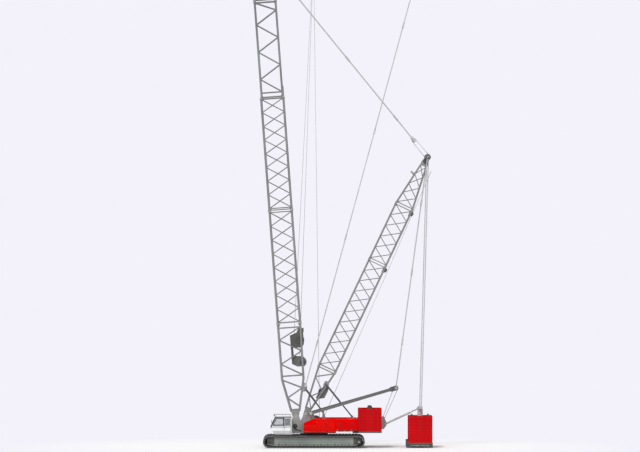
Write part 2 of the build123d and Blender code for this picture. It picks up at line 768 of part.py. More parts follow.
# Winches behind the boom foot, their side plates flat against the inner faces of the rear chords
def drum(x, y_half, z, barrel, flange):
    rim = 6
    points = [(0, -y_half), (flange, -y_half), (flange, -y_half + rim), (barrel, -y_half + rim),
              (barrel, y_half - rim), (flange, y_half - rim), (flange, y_half), (0, y_half)]
    face = Face(Wire.make_polygon([Vector(r, h, 0) for r, h in points], close=True))
    return Pos(x, 0, z) * Solid.revolve(face, 360, Axis.Y)


web_out = wide - boom_chord / 2 - seat
web = 8
web_outline = [
    (0, 566), (0, 866), (68, 890), (98, 936), (150, 936), (150, 910), (half + 24, 880), (half + 24, 770),
    (half + 4, 735), (24, 735), (24, 650), (70, 640), (half + 4, 636), (half + 34, 600), (half + 34, 560),
    (half + 14, 534), (58, 534),
]
boom_winches = sided(plate(web_outline, web_out - web, web_out))
spools = (
    # along the boom, behind its axis, flange radius
    (812, 86, 62),
    (577, 110, 46),
)
for z, x, flange in spools:
    boom_winches.append(drum(x, web_out - web - 4, z, flange - 16, flange))
    boom_winches.append(disc(x, z, 12, -web_out + 1, web_out - 1))
for x, z in ((12, 856), (12, 690), (12, 578), (140, 923)):
    boom_winches.append(bar((x, -web_out + 2, z), (x, web_out - 2, z), 9))
save("boom_winches", place(boom, join(boom_winches)))

# Backstops: struts pinned above that leave their pads as boom or mast goes forward
def backstop(top, foot, y, lug_in):
    angle = math.degrees(math.atan2(foot[1] - top[1], foot[0] - top[0]))
    length = math.dist(top, foot)
    upward = (0, 0, 1)
    shape = join([
        Solid.make_cylinder(stop_tube / 2, length * 0.55, Plane(origin=(0, y, 0), z_dir=upward)),
        Solid.make_cylinder(stop_rod / 2, length, Plane(origin=(0, y, 0), z_dir=upward)),
        Solid.make_cylinder(stop_rod / 2 + 4, 9, Plane(origin=(0, y, length - 9), z_dir=upward)),
        disc(0, 0, 11, y - stop_tube / 2, y + stop_tube / 2),
        disc(0, 0, stop_pin, lug_in, y),
    ])
    return aim(top, angle).location * shape


save("boom_backstops", both(backstop(*boom_stop, boom_stop_y, boom_leg_y - boom_lug_plate / 2)))
save("mast_backstops", both(backstop(*mast_stop, mast_stop_y, mast_leg_y - mast_lug_plate / 2)))


# Struts at the boom head: two tubes that draw together towards the tip
def strut(base_y, tip_y, base_lug_y, length, ties, guides):
    half_lug = lug_width / 2
    shapes = []
    for side in (-1, 1):
        shapes.append(bar((0, side * base_y, 14), (0, side * tip_y, length - 40), strut_leg))
        shapes.append(ring_lug(0, 0, side * base_lug_y, lug_width, lug, pin + pin_gap))
        shapes.append(disc(0, length, 20, side * tip_y - 8, side * tip_y + 8))
        shapes.append(bar((0, side * tip_y, length - 46), (0, side * tip_y, length), 15))
    for z in ties:
        y = base_y + (tip_y - base_y) * z / length
        shapes.append(bar((0, -y, z), (0, y, z), 16))
    for z, z_next in zip(ties, ties[1:]):
        y = base_y + (tip_y - base_y) * z / length
        y_next = base_y + (tip_y - base_y) * z_next / length
        shapes.append(bar((0, -y, z), (0, y_next, z_next), 10))
    shapes.append(disc(0, length, pin, -tip_y - 26, tip_y + 26))
    for z in guides:
        y = base_y + (tip_y - base_y) * z / length
        shapes.append(disc(-18, z, 6, -y, y))
        for side in (-1, 1):
            shapes.append(plate([(-26, z - 10), (-26, z + 10), (6, z + 14), (6, z - 14)], side * y - 4,
                                side * y + 4))
    frame = join(shapes)
    for side in (-1, 1):
        frame = frame - disc(0, 0, pin + pin_gap, side * base_lug_y - half_lug - 10,
                             side * base_lug_y + half_lug + 10)
    return frame


strut_ties = (120, 480, 860, 1240, 1580)
tip_y = 46
rear_base = along(boom_pivot, boom_angle, strut_pin[1], strut_pin[0])
rear_plane = aim(rear_base, rear_strut_angle)
guide_z = 531
rear = strut(lug_y - 4, tip_y, lug_y, strut_length, strut_ties, (guide_z,))
rollers_up = [sheave(-18, guide_z, 24, y, 12, 6 + pin_gap / 2) for y in (-36, 0, 36)]
tip_wheels = [sheave(0, strut_length, 26, y, 12, pin + pin_gap / 2) for y in (-26, -13, 0, 13, 26)]
save("rear_strut", [place(rear_plane, shape) for shape in [rear] + rollers_up + tip_wheels])


def guy_rod(a, b, y_a, y_b, eye_width=10, eye_radius=14, bores=(pin + pin_gap, pin + pin_gap),
            pins=(None, None)):
    """Straight guy between two points of (x, z) with an eye at each end."""
    shapes = [bar((a[0], y_a, a[1]), (b[0], y_b, b[1]), guy)]
    for (x, z), y in ((a, y_a), (b, y_b)):
        shapes.append(disc(x, z, eye_radius, y - eye_width / 2, y + eye_width / 2))
    rod = join(shapes)
    for (x, z), y, bore, solid_pin in ((a, y_a, bores[0], pins[0]), (b, y_b, bores[1], pins[1])):
        if solid_pin is None:
            rod = rod - disc(x, z, bore, y - eye_width, y + eye_width)
        else:
            rod = rod.fuse(disc(x, z, stop_pin, min(solid_pin, y), max(solid_pin, y)))
    return rod


rear_tip = along(rear_base, rear_strut_angle, strut_length)
guy_foot = along(boom_pivot, boom_angle, boom_guy_lug[1], boom_guy_lug[0])
guy_tip_y = tip_y + 8 + lug_clear + 5
guy_foot_y = boom_leg_y + boom_lug_plate / 2 + lug_clear + 5
save("rear_strut_guys", both(guy_rod(rear_tip, guy_foot, guy_tip_y, guy_foot_y,
                                     pins=(None, boom_leg_y - boom_lug_plate / 2))))

# Derrick mast, along local Z from its foot pins
mast = aim(mast_pivot, mast_angle)
half = mast_depth / 2
wide = mast_width / 2
low = lattice((56, -26, 26, wide), (mast_foot_length, -half, half, wide), 4, mast_chord, mast_lacing,
              crossed=False, ends=(False, True), faces=(True, False))
foot_lug = plate([(-34, 76), (-24, -4), (24, -4), (34, 76)], wide - mast_lug_width / 2,
                 wide + mast_lug_width / 2)
foot_lug = join([foot_lug, disc(0, 0, 24, wide - mast_lug_width / 2, wide + mast_lug_width / 2)])
stop_plate = plate([(38, 352), (38, 406), (84, 416), (76, 344)], wide - mast_lug_plate / 2,
                   wide + mast_lug_plate / 2)
ties = [bar((x, -wide, z), (x, wide, z), mast_lacing) for x, z in ((46, 190), (78, 420))]
foot = join([low] + ties + sided(foot_lug) + sided(stop_plate))
foot = foot - sided(disc(0, 0, pin_radius + pin_gap, wide - mast_lug_width, wide + mast_lug_width))
foot = foot - sided(disc(mast_stop_lug[0], mast_stop_lug[1], stop_pin + lug_clear, wide - 20, wide + 20))
save("mast_foot", place(mast, foot))
z0 = mast_foot_length
z1 = z0 + mast_lower_length
z2 = z1 + mast_upper_length


def rope_guide(z, x):
    """Pair of cheeks with a roller between them, behind the mast's rear chords."""
    outline = [(x - 26, z - 34), (x + 14, z - 22), (x + 18, z + 18), (x - 26, z + 34)]
    y = wide - 6
    cheeks = sided(plate(outline, y - 6, y + 6))
    return cheeks + [disc(x + 6, z, 9, -y, y)]


lower = lattice((z0, -half, half, wide), (z1, -half, half, wide), 10, mast_chord, mast_lacing)
save("mast_lower", place(mast, join([lower] + rope_guide(z1 - 38, half + 12))))
upper = lattice((z1, -half, half, wide), (z2, -half, half, wide), 5, mast_chord, mast_lacing)
save("mast_upper", place(mast, join([upper] + rope_guide(z2 - 40, half + 10))))
mast_top = z2 + mast_head_length
head_low = mast_top - 90
head_end = (head_low, -30, 30, 68)
head = lattice((z2, -half, half, wide), head_end, 4, mast_chord, mast_lacing, ends=(True, False))
cheek_outline = [
    (-38, head_low - 14), (-38, head_low + 30), (-26, mast_top - 20), (-26, mast_top + 16),
    (-14, mast_top + 26), (14, mast_top + 26),
    (26, mast_top + 16), (26, mast_top - 20), (38, head_low + 30), (38, head_low - 14),
]
cheek = plate(cheek_outline, 62, 76)
stem = [box(x - 6, x + 6, -76, 76, head_low - 8, head_low + 26) for x in (-30, 30)]
stay_parts = (-32, -16, 0, 16, 32)
arm_z = 2796
arm_y = 84
arms = sided(plate([(-62, arm_z - 12), (-96, arm_z + 6), (-96, arm_z + 20), (-54, arm_z + 10)], arm_y - 5,
                   arm_y + 5))
arms.append(bar((-88, -arm_y, arm_z + 12), (-88, arm_y, arm_z + 12), 10))
hang_y = 88
stay_end_y = 104
axle = disc(0, mast_top, pin, -stay_end_y - 10, stay_end_y + 10)
cap = sided(disc(0, mast_top, pin + 5, stay_end_y + 6, stay_end_y + 10))
head = join([head] + sided(cheek) + stem + arms + [axle] + cap)
wheels = [sheave(0, mast_top, 28, y, 14, pin + pin_gap / 2) for y in (-50,) + stay_parts + (50,)]
save("mast_head", [place(mast, shape) for shape in [head] + wheels])
winch_x, winch_z = 63, 284
inner = wide - mast_lug_plate / 2 - seat
cheek_outline = [
    (winch_x - 40, 206), (winch_x - 20, 200), (winch_x + 44, 240),
    (winch_x + 46, 330), (winch_x + 20, 400), (winch_x - 10, 400),
]
cheeks = sided(plate(cheek_outline, inner - 8, inner))
spool = drum(winch_x, inner - 14, winch_z, 32, 46)
axle = disc(winch_x, winch_z, 10, -inner + 1, inner - 1)
save("mast_winch", place(mast, join(cheeks + [spool, axle])))

# Gantry legs with the ties and rope sheaves between them, and the guys from the mast head down to it
gantry = aim(gantry_pivot, gantry_angle)
bend = 220
head_y = 78
leg_half = gantry_leg_width / 2
leg_points = [(gantry_leg_y - leg_half, -26), (gantry_leg_y + leg_half, -26), (gantry_leg_y + leg_half, bend),
              (head_y + leg_half, 900), (head_y - leg_half, 900), (gantry_leg_y - leg_half, bend - 6)]
face = Face(Wire.make_polygon([Vector(-gantry_leg_depth / 2, y, z) for y, z in leg_points], close=True))
leg = Solid.extrude(face, Vector(gantry_leg_depth, 0, 0))
leg = leg - disc(0, 0, pin_radius + pin_gap, gantry_leg_y - 30, gantry_leg_y + 30)
cheek_in = head_y - 12
cheek = plate([(-14, 862), (-24, 890), (-24, gantry_length + 10), (-12, gantry_length + 24),
               (12, gantry_length + 24), (24, gantry_length + 10), (24, 890), (14, 862)], cheek_in, head_y)
stay_pin_end = disc(0, gantry_length, pin, head_y, head_y + 22)
legs = sided(join([leg, cheek, stay_pin_end]))
save("gantry", [place(gantry, shape) for shape in legs])
ties = []
for z in (300, 590, 880):
    y = gantry_leg_y + (head_y - gantry_leg_y) * (z - bend) / (900 - bend)
    ties.append(box(-10, 10, -y, y, z - 10, z + 10) - legs[0] - legs[1])
save("gantry_ties", [place(gantry, shape) for shape in ties])
axle = disc(0, gantry_length, pin, -cheek_in, cheek_in)
wheels = [sheave(0, gantry_length, 26, y, 14, pin + pin_gap / 2) for y in (-52, -34, -16, 16, 34, 52)]
save("gantry_sheaves", [place(gantry, shape) for shape in [axle] + wheels])
mast_tip = along(mast_pivot, mast_angle, mast_top)
gantry_tip = along(gantry_pivot, gantry_angle, gantry_length)
save("mast_stays", both(guy_rod(mast_tip, gantry_tip, stay_end_y, head_y + 12, eye_radius=16,
                                bores=(pin + pin_gap, pin + 2))))

# Boom stays: guys from the boom head to the rope block that hangs below the mast head's ropes
stay_top = along(boom_pivot, boom_angle, stay_pin[1], stay_pin[0])
run = math.dist(stay_top, mast_tip)
stay_angle = math.degrees(math.atan2(mast_tip[1] - stay_top[1], mast_tip[0] - stay_top[0]))
block_reach = 270
yoke = run - block_reach
stay_plane = aim(stay_top, stay_angle)
stays = sided(bar((0, stay_y, 0), (0, stay_y, yoke), guy))
stays += sided(disc(0, 0, 18, stay_y - stay_width / 2, stay_y + stay_width / 2))
stays.append(bar((0, -stay_y - 6, yoke), (0, stay_y + 6, yoke), 20))
for y in (-60, 60):
    stays.append(plate([(-14, yoke - 8), (-14, yoke + 40), (0, yoke + 62), (14, yoke + 40),
                        (14, yoke - 8)], y - 4, y + 4))
stays.append(disc(0, yoke + 40, 6, -64, 64))
stays = join(stays)
stays = stays - join(sided(disc(0, 0, pin + pin_gap, stay_y - 20, stay_y + 20)))
block_z = yoke + 40
block_radius = 24
wheels = [sheave(0, block_z, block_radius, y, 14, 6 + pin_gap / 2) for y in stay_parts]
save("boom_stays", [place(stay_plane, shape) for shape in [stays] + wheels])
rope_side = block_radius - sheave_groove + rope / 2 + seat
mast_room = 175
rope_stop = run - mast_room
ropes = [bar((x, y, block_z), (x, y, rope_stop), rope) for y in stay_parts for x in (-rope_side, rope_side)]
save("stay_ropes", [place(stay_plane, shape) for shape in ropes])

# Jib with its front strut and guys
jib_pivot = along(boom_pivot, boom_angle, jib_pin[1], jib_pin[0])
jib = aim(jib_pivot, jib_angle)
half = jib_depth / 2
wide = jib_width / 2
strut_hinge = (30, 66)
strut_in = wide - lug_width - lug_clear
low = lattice((100, -30, 38, wide), (jib_foot_length, -half, half, wide), 4, jib_chord, jib_lacing,
              crossed=False, inset=(20, 14), ends=(False, True))
foot_lug = plate([(-lug + 2, 6), (-38, 116), (46, 116), (46, 56), (lug - 2, 0), (0, -10)],
                 wide - lug_width / 2, wide + lug_width / 2)
foot_lug = join([foot_lug, disc(0, 0, lug, wide - lug_width / 2, wide + lug_width / 2)])
foot = join([low] + sided(foot_lug))
for x, z in ((0, 0), strut_hinge):
    foot = foot - sided(disc(x, z, pin + pin_gap, wide - lug_width, wide + lug_width))
save("jib_foot", place(jib, foot))
z0 = jib_foot_length
z1 = z0 + jib_middle_length
jib_box = [(z, -half, half, wide) for z in (z0, z1)]
middle_part = lattice(*jib_box, 10, jib_chord, jib_lacing, crossed=False)
save("jib_middle", place(jib, middle_part))
jib_top = z1 + jib_head_length
head = lattice((z1, -half, half, wide), (jib_top - 60, -26, 26, 56), 5, jib_chord, jib_lacing,
               crossed=False, ends=(True, False))
tip_radius = 40
tip_offset = -70
cheek = plate([(-34, jib_top - 84), (-62, jib_top - 40), (-92, jib_top - 10), (-92, jib_top + 12),
               (-80, jib_top + 24),
               (20, jib_top + 22), (38, jib_top + 6), (38, jib_top - 40), (34, jib_top - 84)], 48, 58)
guy_lug_point = (24, jib_top - 14)
axle = disc(tip_offset, jib_top, pin, -57, 57)
guy_axle = disc(guy_lug_point[0], guy_lug_point[1], stop_pin, -72, 72)
brace = box(-24, 30, -57, 57, jib_top - 78, jib_top - 66)
head = join([head] + sided(cheek) + [axle, guy_axle, brace])
fall_y = 20
wheels = [sheave(tip_offset, jib_top, tip_radius, y, 14, pin + pin_gap / 2) for y in (-fall_y, fall_y)]
save("jib_head", [place(jib, shape) for shape in [head] + wheels])

strut_base = along(jib_pivot, jib_angle, strut_hinge[1], strut_hinge[0])
front_plane = aim(strut_base, front_strut_angle)
front_y = strut_in
front = strut(front_y - 7, tip_y, front_y, strut_length, strut_ties, ())
front = front.fuse(*sided(disc(0, 0, pin, front_y - 6, wide + lug_width / 2)))
wheels = [sheave(0, strut_length, 26, y, 12, pin + pin_gap / 2) for y in (-26, -13, 0, 13, 26)]
save("front_strut", [place(front_plane, shape) for shape in [front] + wheels])
front_tip = along(strut_base, front_strut_angle, strut_length)
guy_end = along(jib_pivot, jib_angle, guy_lug_point[1], guy_lug_point[0])
save("jib_guys", both(guy_rod(front_tip, guy_end, guy_tip_y, 58 + lug_clear + 5,
                              bores=(pin + pin_gap, stop_pin + lug_clear))))

# Hoist ropes and hook block
jib_tip = along(jib_pivot, jib_angle, jib_top, tip_offset)
rope_radius = tip_radius - sheave_groove + rope / 2 + seat
hook_drop = 1100
falls = []
for y in (-fall_y, fall_y):
    for x in (-rope_radius, rope_radius):
        falls.append(bar((jib_tip[0] + x, y, jib_tip[1]), (jib_tip[0] + x, y, jib_tip[1] - hook_drop), rope))
save("hoist_ropes", falls)
hx, hz = jib_tip[0], jib_tip[1] - hook_drop
case = [(-30, -30), (-36, 0), (-20, 34), (20, 34), (36, 0), (30, -30), (16, -86), (-16, -86)]
case = [(hx + x, hz + z) for x, z in case]
block = []
for y0, y1 in ((-38, -30), (-4, 4), (30, 38)):
    block.append(plate(case, y0, y1))
block.append(disc(hx, hz, pin, -38, 38))
block.append(box(hx - 16, hx + 16, -38, 38, hz - 86, hz - 60))
block.append(box(hx - 8, hx + 8, -38, 38, hz + 26, hz + 34))
shank = Solid.make_cylinder(9, 24, Plane(origin=(hx, 0, hz - 108), z_dir=(0, 0, 1)))
hook_outer, hook_inner = 34, 17
hook_z = hz - 108 - hook_outer + 6
crook = disc(hx, hook_z, hook_outer, -9, 9) - disc(hx - 2, hook_z + 2, hook_inner, -10, 10)
crook = crook - plate([(hx - 2, hook_z + 2), (hx - 60, hook_z - 6), (hx - 60, hook_z + 40),
                       (hx - 12, hook_z + 40)], -10, 10)
block = join(block + [shank, crook])
wheels = [sheave(hx, hz, tip_radius, y, 14, pin + pin_gap / 2) for y in (-fall_y, fall_y)]
save("hook_block", [block] + wheels)

# Derrick ballast: slabs on a tray, hung from the mast head
x0, x1 = ballast_x
z0, z1 = ballast_z
stack = box(x0, x1, ballast_gap, ballast_half, z0, z1)
cuts = []
ballast_slabs = 9
for i in range(1, ballast_slabs):
    z = z0 + (z1 - z0) * i / ballast_slabs
    cut = box(x0 - 9, x1 + 9, ballast_gap - 9, ballast_half + 9, z - slab_groove / 2, z + slab_groove / 2)
    cuts.append(cut - box(x0 + 4, x1 - 4, ballast_gap + 4, ballast_half - 4, z - 3, z + 3))
save("ballast_slabs", both(stack - cuts))
tray_z = z0 - tray_height
tray = [box(x0, x1, -ballast_half, ballast_half, tray_z, z0)]
for y in (-ballast_half + 40, ballast_half - 40):
    tray.append(box(978, x0 - seat, y - 30, y + 30, tray_z, 75))
    tray.append(box(978, 1025, y - 36, y + 36, 0, tray_z + 1))
    tray.append(box(1231, 1258, y - 36, y + 36, 0, 53))
tray = join(tray)
tray = tray - box(x0 + 20, x1 - 20, -ballast_half + 90, -ballast_gap - 20, tray_z - 1, tray_z + 12)
tray = tray - box(x0 + 20, x1 - 20, ballast_gap + 20, ballast_half - 90, tray_z - 1, tray_z + 12)
save("ballast_tray", tray)
cheek_in_y = 20
hanger = plate([(1099, z0 + seat), (1099, 428), (1106, hanger_top), (1148, hanger_top), (1154, 428),
                (1154, z0 + seat)], cheek_in_y, cheek_in_y + 12)
hanger = both(hanger)
hanger.append(box(1130, 1156, -cheek_in_y - 1, cheek_in_y + 1, z0 + seat, 400))
cross_bar = box(1112, 1152, -hang_y - 10, hang_y + 10, 404, 428)
hanger.append(cross_bar - box(1090, 1160, -cheek_in_y, cheek_in_y, 380, 440))
hang_top = mast_tip
guide_eye = (1105, 409)
for y in (-hang_y, hang_y):
    hanger.append(disc(hang_top[0], hang_top[1], 24, y - 7, y + 7))
    for x in (-9, 9):
        hanger.append(bar((hang_top[0] + x, y, hang_top[1] - 12), (hanger_x + 5 + x, y, 416), 8))
hanger = join(hanger)
bores = [disc(hang_top[0], hang_top[1], pin + pin_gap, y - 12, y + 12) for y in (-hang_y, hang_y)]
save("ballast_hanger", hanger - join(bores))

# Guide between the counterweight and the ballast: a rod that slides in a tube
run = math.dist(guide_pivot, guide_eye)
guide_angle = math.degrees(math.atan2(guide_eye[1] - guide_pivot[1], guide_eye[0] - guide_pivot[0]))
guide_plane = aim(guide_pivot, guide_angle)
up = (0, 0, 1)
tube_end = run - 94
rod_start = 112
tube = join([
    Solid.make_cylinder(guide_tube_radius, tube_end, Plane(origin=(0, 0, 0), z_dir=up)),
    disc(0, 0, guide_lug, -14, 14),
])
bore = Solid.make_cylinder(guide_rod_radius + seat, tube_end, Plane(origin=(0, 0, 30), z_dir=up))
tube = tube - bore - disc(0, 0, guide_pin + pin_gap, -20, 20)
save("guide_tube", place(guide_plane, tube))
rod = join([
    Solid.make_cylinder(guide_rod_radius, run - rod_start, Plane(origin=(0, 0, rod_start), z_dir=up)),
    disc(0, run, 13, -19.5, 19.5),
])
save("guide_rod", place(guide_plane, rod))
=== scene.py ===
import math

import bpy
import bmesh
from mathutils import Matrix, Vector


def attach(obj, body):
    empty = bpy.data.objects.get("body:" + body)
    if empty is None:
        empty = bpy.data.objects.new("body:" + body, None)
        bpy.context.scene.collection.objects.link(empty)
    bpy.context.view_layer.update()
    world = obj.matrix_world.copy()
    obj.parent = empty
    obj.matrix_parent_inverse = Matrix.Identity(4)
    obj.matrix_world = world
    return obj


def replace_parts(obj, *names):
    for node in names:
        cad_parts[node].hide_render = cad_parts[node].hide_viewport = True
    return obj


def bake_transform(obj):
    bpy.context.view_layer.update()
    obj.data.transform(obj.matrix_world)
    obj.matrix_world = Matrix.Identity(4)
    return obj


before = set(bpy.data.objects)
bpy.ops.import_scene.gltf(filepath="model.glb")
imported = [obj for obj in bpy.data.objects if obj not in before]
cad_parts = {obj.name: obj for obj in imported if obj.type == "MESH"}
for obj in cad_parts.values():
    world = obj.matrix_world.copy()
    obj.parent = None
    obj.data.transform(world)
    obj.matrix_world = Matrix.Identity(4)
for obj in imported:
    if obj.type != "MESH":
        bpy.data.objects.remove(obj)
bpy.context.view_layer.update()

# Places shared with the solids, in metres and degrees
BOOM_PIVOT, BOOM_ANGLE = (-0.190, 0.319), 94.26
MAST_PIVOT, MAST_ANGLE = (-0.088, 0.350), 64.6
GANTRY_PIVOT, GANTRY_ANGLE, GANTRY_LENGTH = (-0.031, 0.361), 16.41, 0.9414
JIB_ANGLE, FRONT_ANGLE, REAR_ANGLE = 103.3, 33.0, -2.9
HEAD_Z, MAST_TOP, JIB_TOP, STRUT = 4.930, 3.020, 2.400, 1.650


def along(point, angle, length, side=0.0):
    """Point (x, z) at a length along a line that leans by an angle, and at a distance behind it."""
    a = math.radians(angle)
    return (point[0] + length * math.cos(a) + side * math.sin(a),
            point[1] + length * math.sin(a) - side * math.cos(a))


def at(p, y=0.0):
    """Point in space from a point (x, z) of the side view."""
    return (p[0], y, p[1])


# Materials
def material(name, color, rough=0.5, metallic=0.0, vary=0.12, grain=60.0, bump=0.08, wear=None,
             wear_amount=0.5, streak=0.0, gloss=0.3):
    """Painted or bare surface with colour variation, uneven gloss, fine bump and worn edges."""
    m = bpy.data.materials.new(name)
    m.use_nodes = True
    n, l = m.node_tree.nodes, m.node_tree.links
    n.clear()
    out = n.new("ShaderNodeOutputMaterial")
    b = n.new("ShaderNodeBsdfPrincipled")
    l.new(b.outputs[0], out.inputs[0])
    place = n.new("ShaderNodeTexCoord").outputs["Object"]

    def noise(source, scale, detail):
        node = n.new("ShaderNodeTexNoise")
        node.inputs["Scale"].default_value = scale
        node.inputs["Detail"].default_value = detail
        l.new(source, node.inputs["Vector"])
        return node.outputs["Fac"]

    def ramp(source, *stops):
        node = n.new("ShaderNodeValToRGB")
        for element, (position, shade) in zip(node.color_ramp.elements, stops):
            element.position, element.color = position, shade
        l.new(source, node.inputs[0])
        return node.outputs[0]

    def mix(share, under, over):
        node = n.new("ShaderNodeMix")
        node.data_type = "RGBA"
        l.new(share, node.inputs["Factor"])
        l.new(under, node.inputs[6])
        node.inputs[7].default_value = over
        return node.outputs[2]

    big, fine = noise(place, grain * 0.12, 6), noise(place, grain * 3, 3)
    dark = [c * (1 - vary) for c in color] + [1]
    light = [min(1.0, c * (1 + vary * 0.6)) for c in color] + [1]
    last = ramp(big, (0.32, dark), (0.68, light))
    if streak:
        stretch = n.new("ShaderNodeMapping")
        stretch.inputs["Scale"].default_value = (6, 6, 0.7)
        l.new(place, stretch.inputs[0])
        share = ramp(noise(stretch.outputs[0], 14, 2), (0.55, (0, 0, 0, 1)), (0.75, (streak,) * 3 + (1,)))
        last = mix(share, last, [c * 0.6 + min(c, 0.02) for c in color] + [1])
    if wear:
        edges = n.new("ShaderNodeNewGeometry").outputs["Pointiness"]
        patchy = n.new("ShaderNodeMath")
        patchy.operation = "MULTIPLY"
        l.new(ramp(edges, (0.53, (0, 0, 0, 1)), (0.62, (wear_amount,) * 3 + (1,))), patchy.inputs[0])
        l.new(fine, patchy.inputs[1])
        last = mix(patchy.outputs[0], last, list(wear) + [1])
    l.new(last, b.inputs["Base Color"])
    uneven = n.new("ShaderNodeMapRange")
    uneven.inputs["To Min"].default_value = max(0.05, rough - 0.12)
    uneven.inputs["To Max"].default_value = min(1.0, rough + 0.12)
    l.new(big, uneven.inputs["Value"])
    l.new(uneven.outputs[0], b.inputs["Roughness"])
    b.inputs["Metallic"].default_value = metallic
    b.inputs["Specular IOR Level"].default_value = gloss
    relief = n.new("ShaderNodeBump")
    relief.inputs["Strength"].default_value = bump
    relief.inputs["Distance"].default_value = 0.002
    l.new(fine, relief.inputs["Height"])
    l.new(relief.outputs[0], b.inputs["Normal"])
    return m


def glass_material(name):
    """Thin clear pane, mostly seen through, with faint dirt in its gloss."""
    m = bpy.data.materials.new(name)
    m.use_nodes = True
    n, l = m.node_tree.nodes, m.node_tree.links
    b = n["Principled BSDF"]
    b.inputs["Base Color"].default_value = (0.34, 0.38, 0.40, 1)
    b.inputs["Alpha"].default_value = 0.22
    b.inputs["IOR"].default_value = 1.45
    tc = n.new("ShaderNodeTexCoord")
    no = n.new("ShaderNodeTexNoise")
    no.inputs["Scale"].default_value = 25
    l.new(tc.outputs["Object"], no.inputs["Vector"])
    mr = n.new("ShaderNodeMapRange")
    mr.inputs["To Min"].default_value = 0.03
    mr.inputs["To Max"].default_value = 0.15
    l.new(no.outputs["Fac"], mr.inputs["Value"])
    l.new(mr.outputs[0], b.inputs["Roughness"])
    return m


RED = material("paint_red", (0.72, 0.0005, 0.0005), rough=0.42, vary=0.08, grain=40, bump=0.05,
               wear=(0.30, 0.02, 0.015), wear_amount=0.5, streak=0.12, gloss=0.0)
WEIGHT = material("paint_weight_red", (0.55, 0.0005, 0.004), rough=0.55, vary=0.14, grain=40, bump=0.12,
                  wear=(0.20, 0.02, 0.02), wear_amount=0.7, streak=0.25, gloss=0.0)
LATTICE = material("paint_lattice", (0.185, 0.190, 0.185), rough=0.5, vary=0.16, grain=30, bump=0.06,
                   wear=(0.34, 0.34, 0.32), wear_amount=0.6)
GANTRY = material("paint_gantry", (0.085, 0.086, 0.085), rough=0.52, vary=0.16, grain=30, bump=0.06,
                  wear=(0.26, 0.26, 0.25), wear_amount=0.6, gloss=0.15)
FRAME = material("paint_frame", (0.26, 0.265, 0.255), rough=0.5, vary=0.12, grain=40, bump=0.07,
                 wear=(0.5, 0.5, 0.48), wear_amount=0.6, streak=0.3)
WINCH = material("paint_winch", (0.030, 0.036, 0.031), rough=0.55, vary=0.2, grain=50, bump=0.08,
                 wear=(0.3, 0.3, 0.28), wear_amount=0.6, gloss=0.12)
CRAWLER = material("paint_crawler", (0.17, 0.195, 0.175), rough=0.6, vary=0.2, grain=45, bump=0.12,
                   wear=(0.30, 0.29, 0.26), wear_amount=0.8, streak=0.5)
SHOE = material("cast_shoe", (0.020, 0.020, 0.020), rough=0.68, metallic=0.2, vary=0.35, grain=60, bump=0.25,
                wear=(0.16, 0.155, 0.15), wear_amount=0.7, gloss=0.2)
DARK = material("paint_dark", (0.030, 0.031, 0.033), rough=0.55, vary=0.25, grain=50, bump=0.08,
                wear=(0.2, 0.2, 0.2), wear_amount=0.6, gloss=0.12)
WHITE = material("paint_cab", (0.52, 0.53, 0.54), rough=0.42, vary=0.05, grain=30, bump=0.03,
                 wear=(0.4, 0.4, 0.4), wear_amount=0.4, streak=0.15)
STRIPE = material("paint_white", (0.83, 0.83, 0.84), rough=0.4, vary=0.03, grain=30, bump=0.03,
                  wear=(0.6, 0.6, 0.6), wear_amount=0.3)
STEEL = material("bare_steel", (0.34, 0.35, 0.35), rough=0.42, metallic=0.6, vary=0.12, grain=80, bump=0.06)
GUY = material("guy_grey", (0.42, 0.425, 0.435), rough=0.5, metallic=0.1, vary=0.12, grain=60, bump=0.06)
ROPE = material("wire_rope", (0.36, 0.365, 0.375), rough=0.55, metallic=0.2, vary=0.2, grain=400, bump=0.3)
PLASTIC = material("seat_black", (0.03, 0.03, 0.032), rough=0.7, vary=0.2, grain=300, bump=0.3)
RUBBER = material("seal_black", (0.02, 0.02, 0.02), rough=0.75, vary=0.2, grain=200, bump=0.2)
YELLOW = material("paint_hook", (0.72, 0.45, 0.03), rough=0.45, vary=0.12, grain=60, bump=0.08,
                  wear=(0.3, 0.28, 0.25), wear_amount=0.8)
LAMP = material("lamp_lens", (0.80, 0.80, 0.76), rough=0.2, vary=0.05, grain=200, bump=0.2)
GLASS = glass_material("cab_pane")

LOOK = {
    RED: ["house_left", "house_right"],
    WEIGHT: ["counterweight_slabs", "ballast_slabs"],
    LATTICE: ["boom_foot", "boom_lower", "boom_middle", "boom_upper", "boom_head", "mast_foot", "mast_lower",
              "mast_upper", "mast_head", "jib_foot", "jib_middle", "jib_head", "rear_strut", "front_strut"],
    GANTRY: ["gantry", "gantry_ties", "gantry_sheaves", "boom_backstops", "mast_backstops"],
    WINCH: ["boom_winches", "mast_winch", "hoist_winches"],
    FRAME: ["revolving_frame", "rear_sheaves"],
    SHOE: ["track_left", "track_right", "sprocket_left", "sprocket_right", "rollers_left", "rollers_right"],
    CRAWLER: ["crawler_frame_left", "crawler_frame_right"],
    WHITE: ["cab_shell", "cab_door"],
    DARK: ["counterweight_base", "ballast_tray", "slew_ring", "car_body"],
    STEEL: ["guide_rod"],
    GUY: ["guide_tube", "rear_strut_guys", "mast_stays", "boom_stays", "jib_guys", "ballast_hanger"],
    ROPE: ["hoist_ropes", "stay_ropes"],
    PLASTIC: ["cab_seat"],
    YELLOW: ["hook_block"],
    GLASS: ["cab_glass", "door_glass"],
}
for mat, names in LOOK.items():
    for name in names:
        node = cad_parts[name]
        if not node.material_slots:
            node.data.materials.append(mat)
        for s in node.material_slots:
            s.material = mat


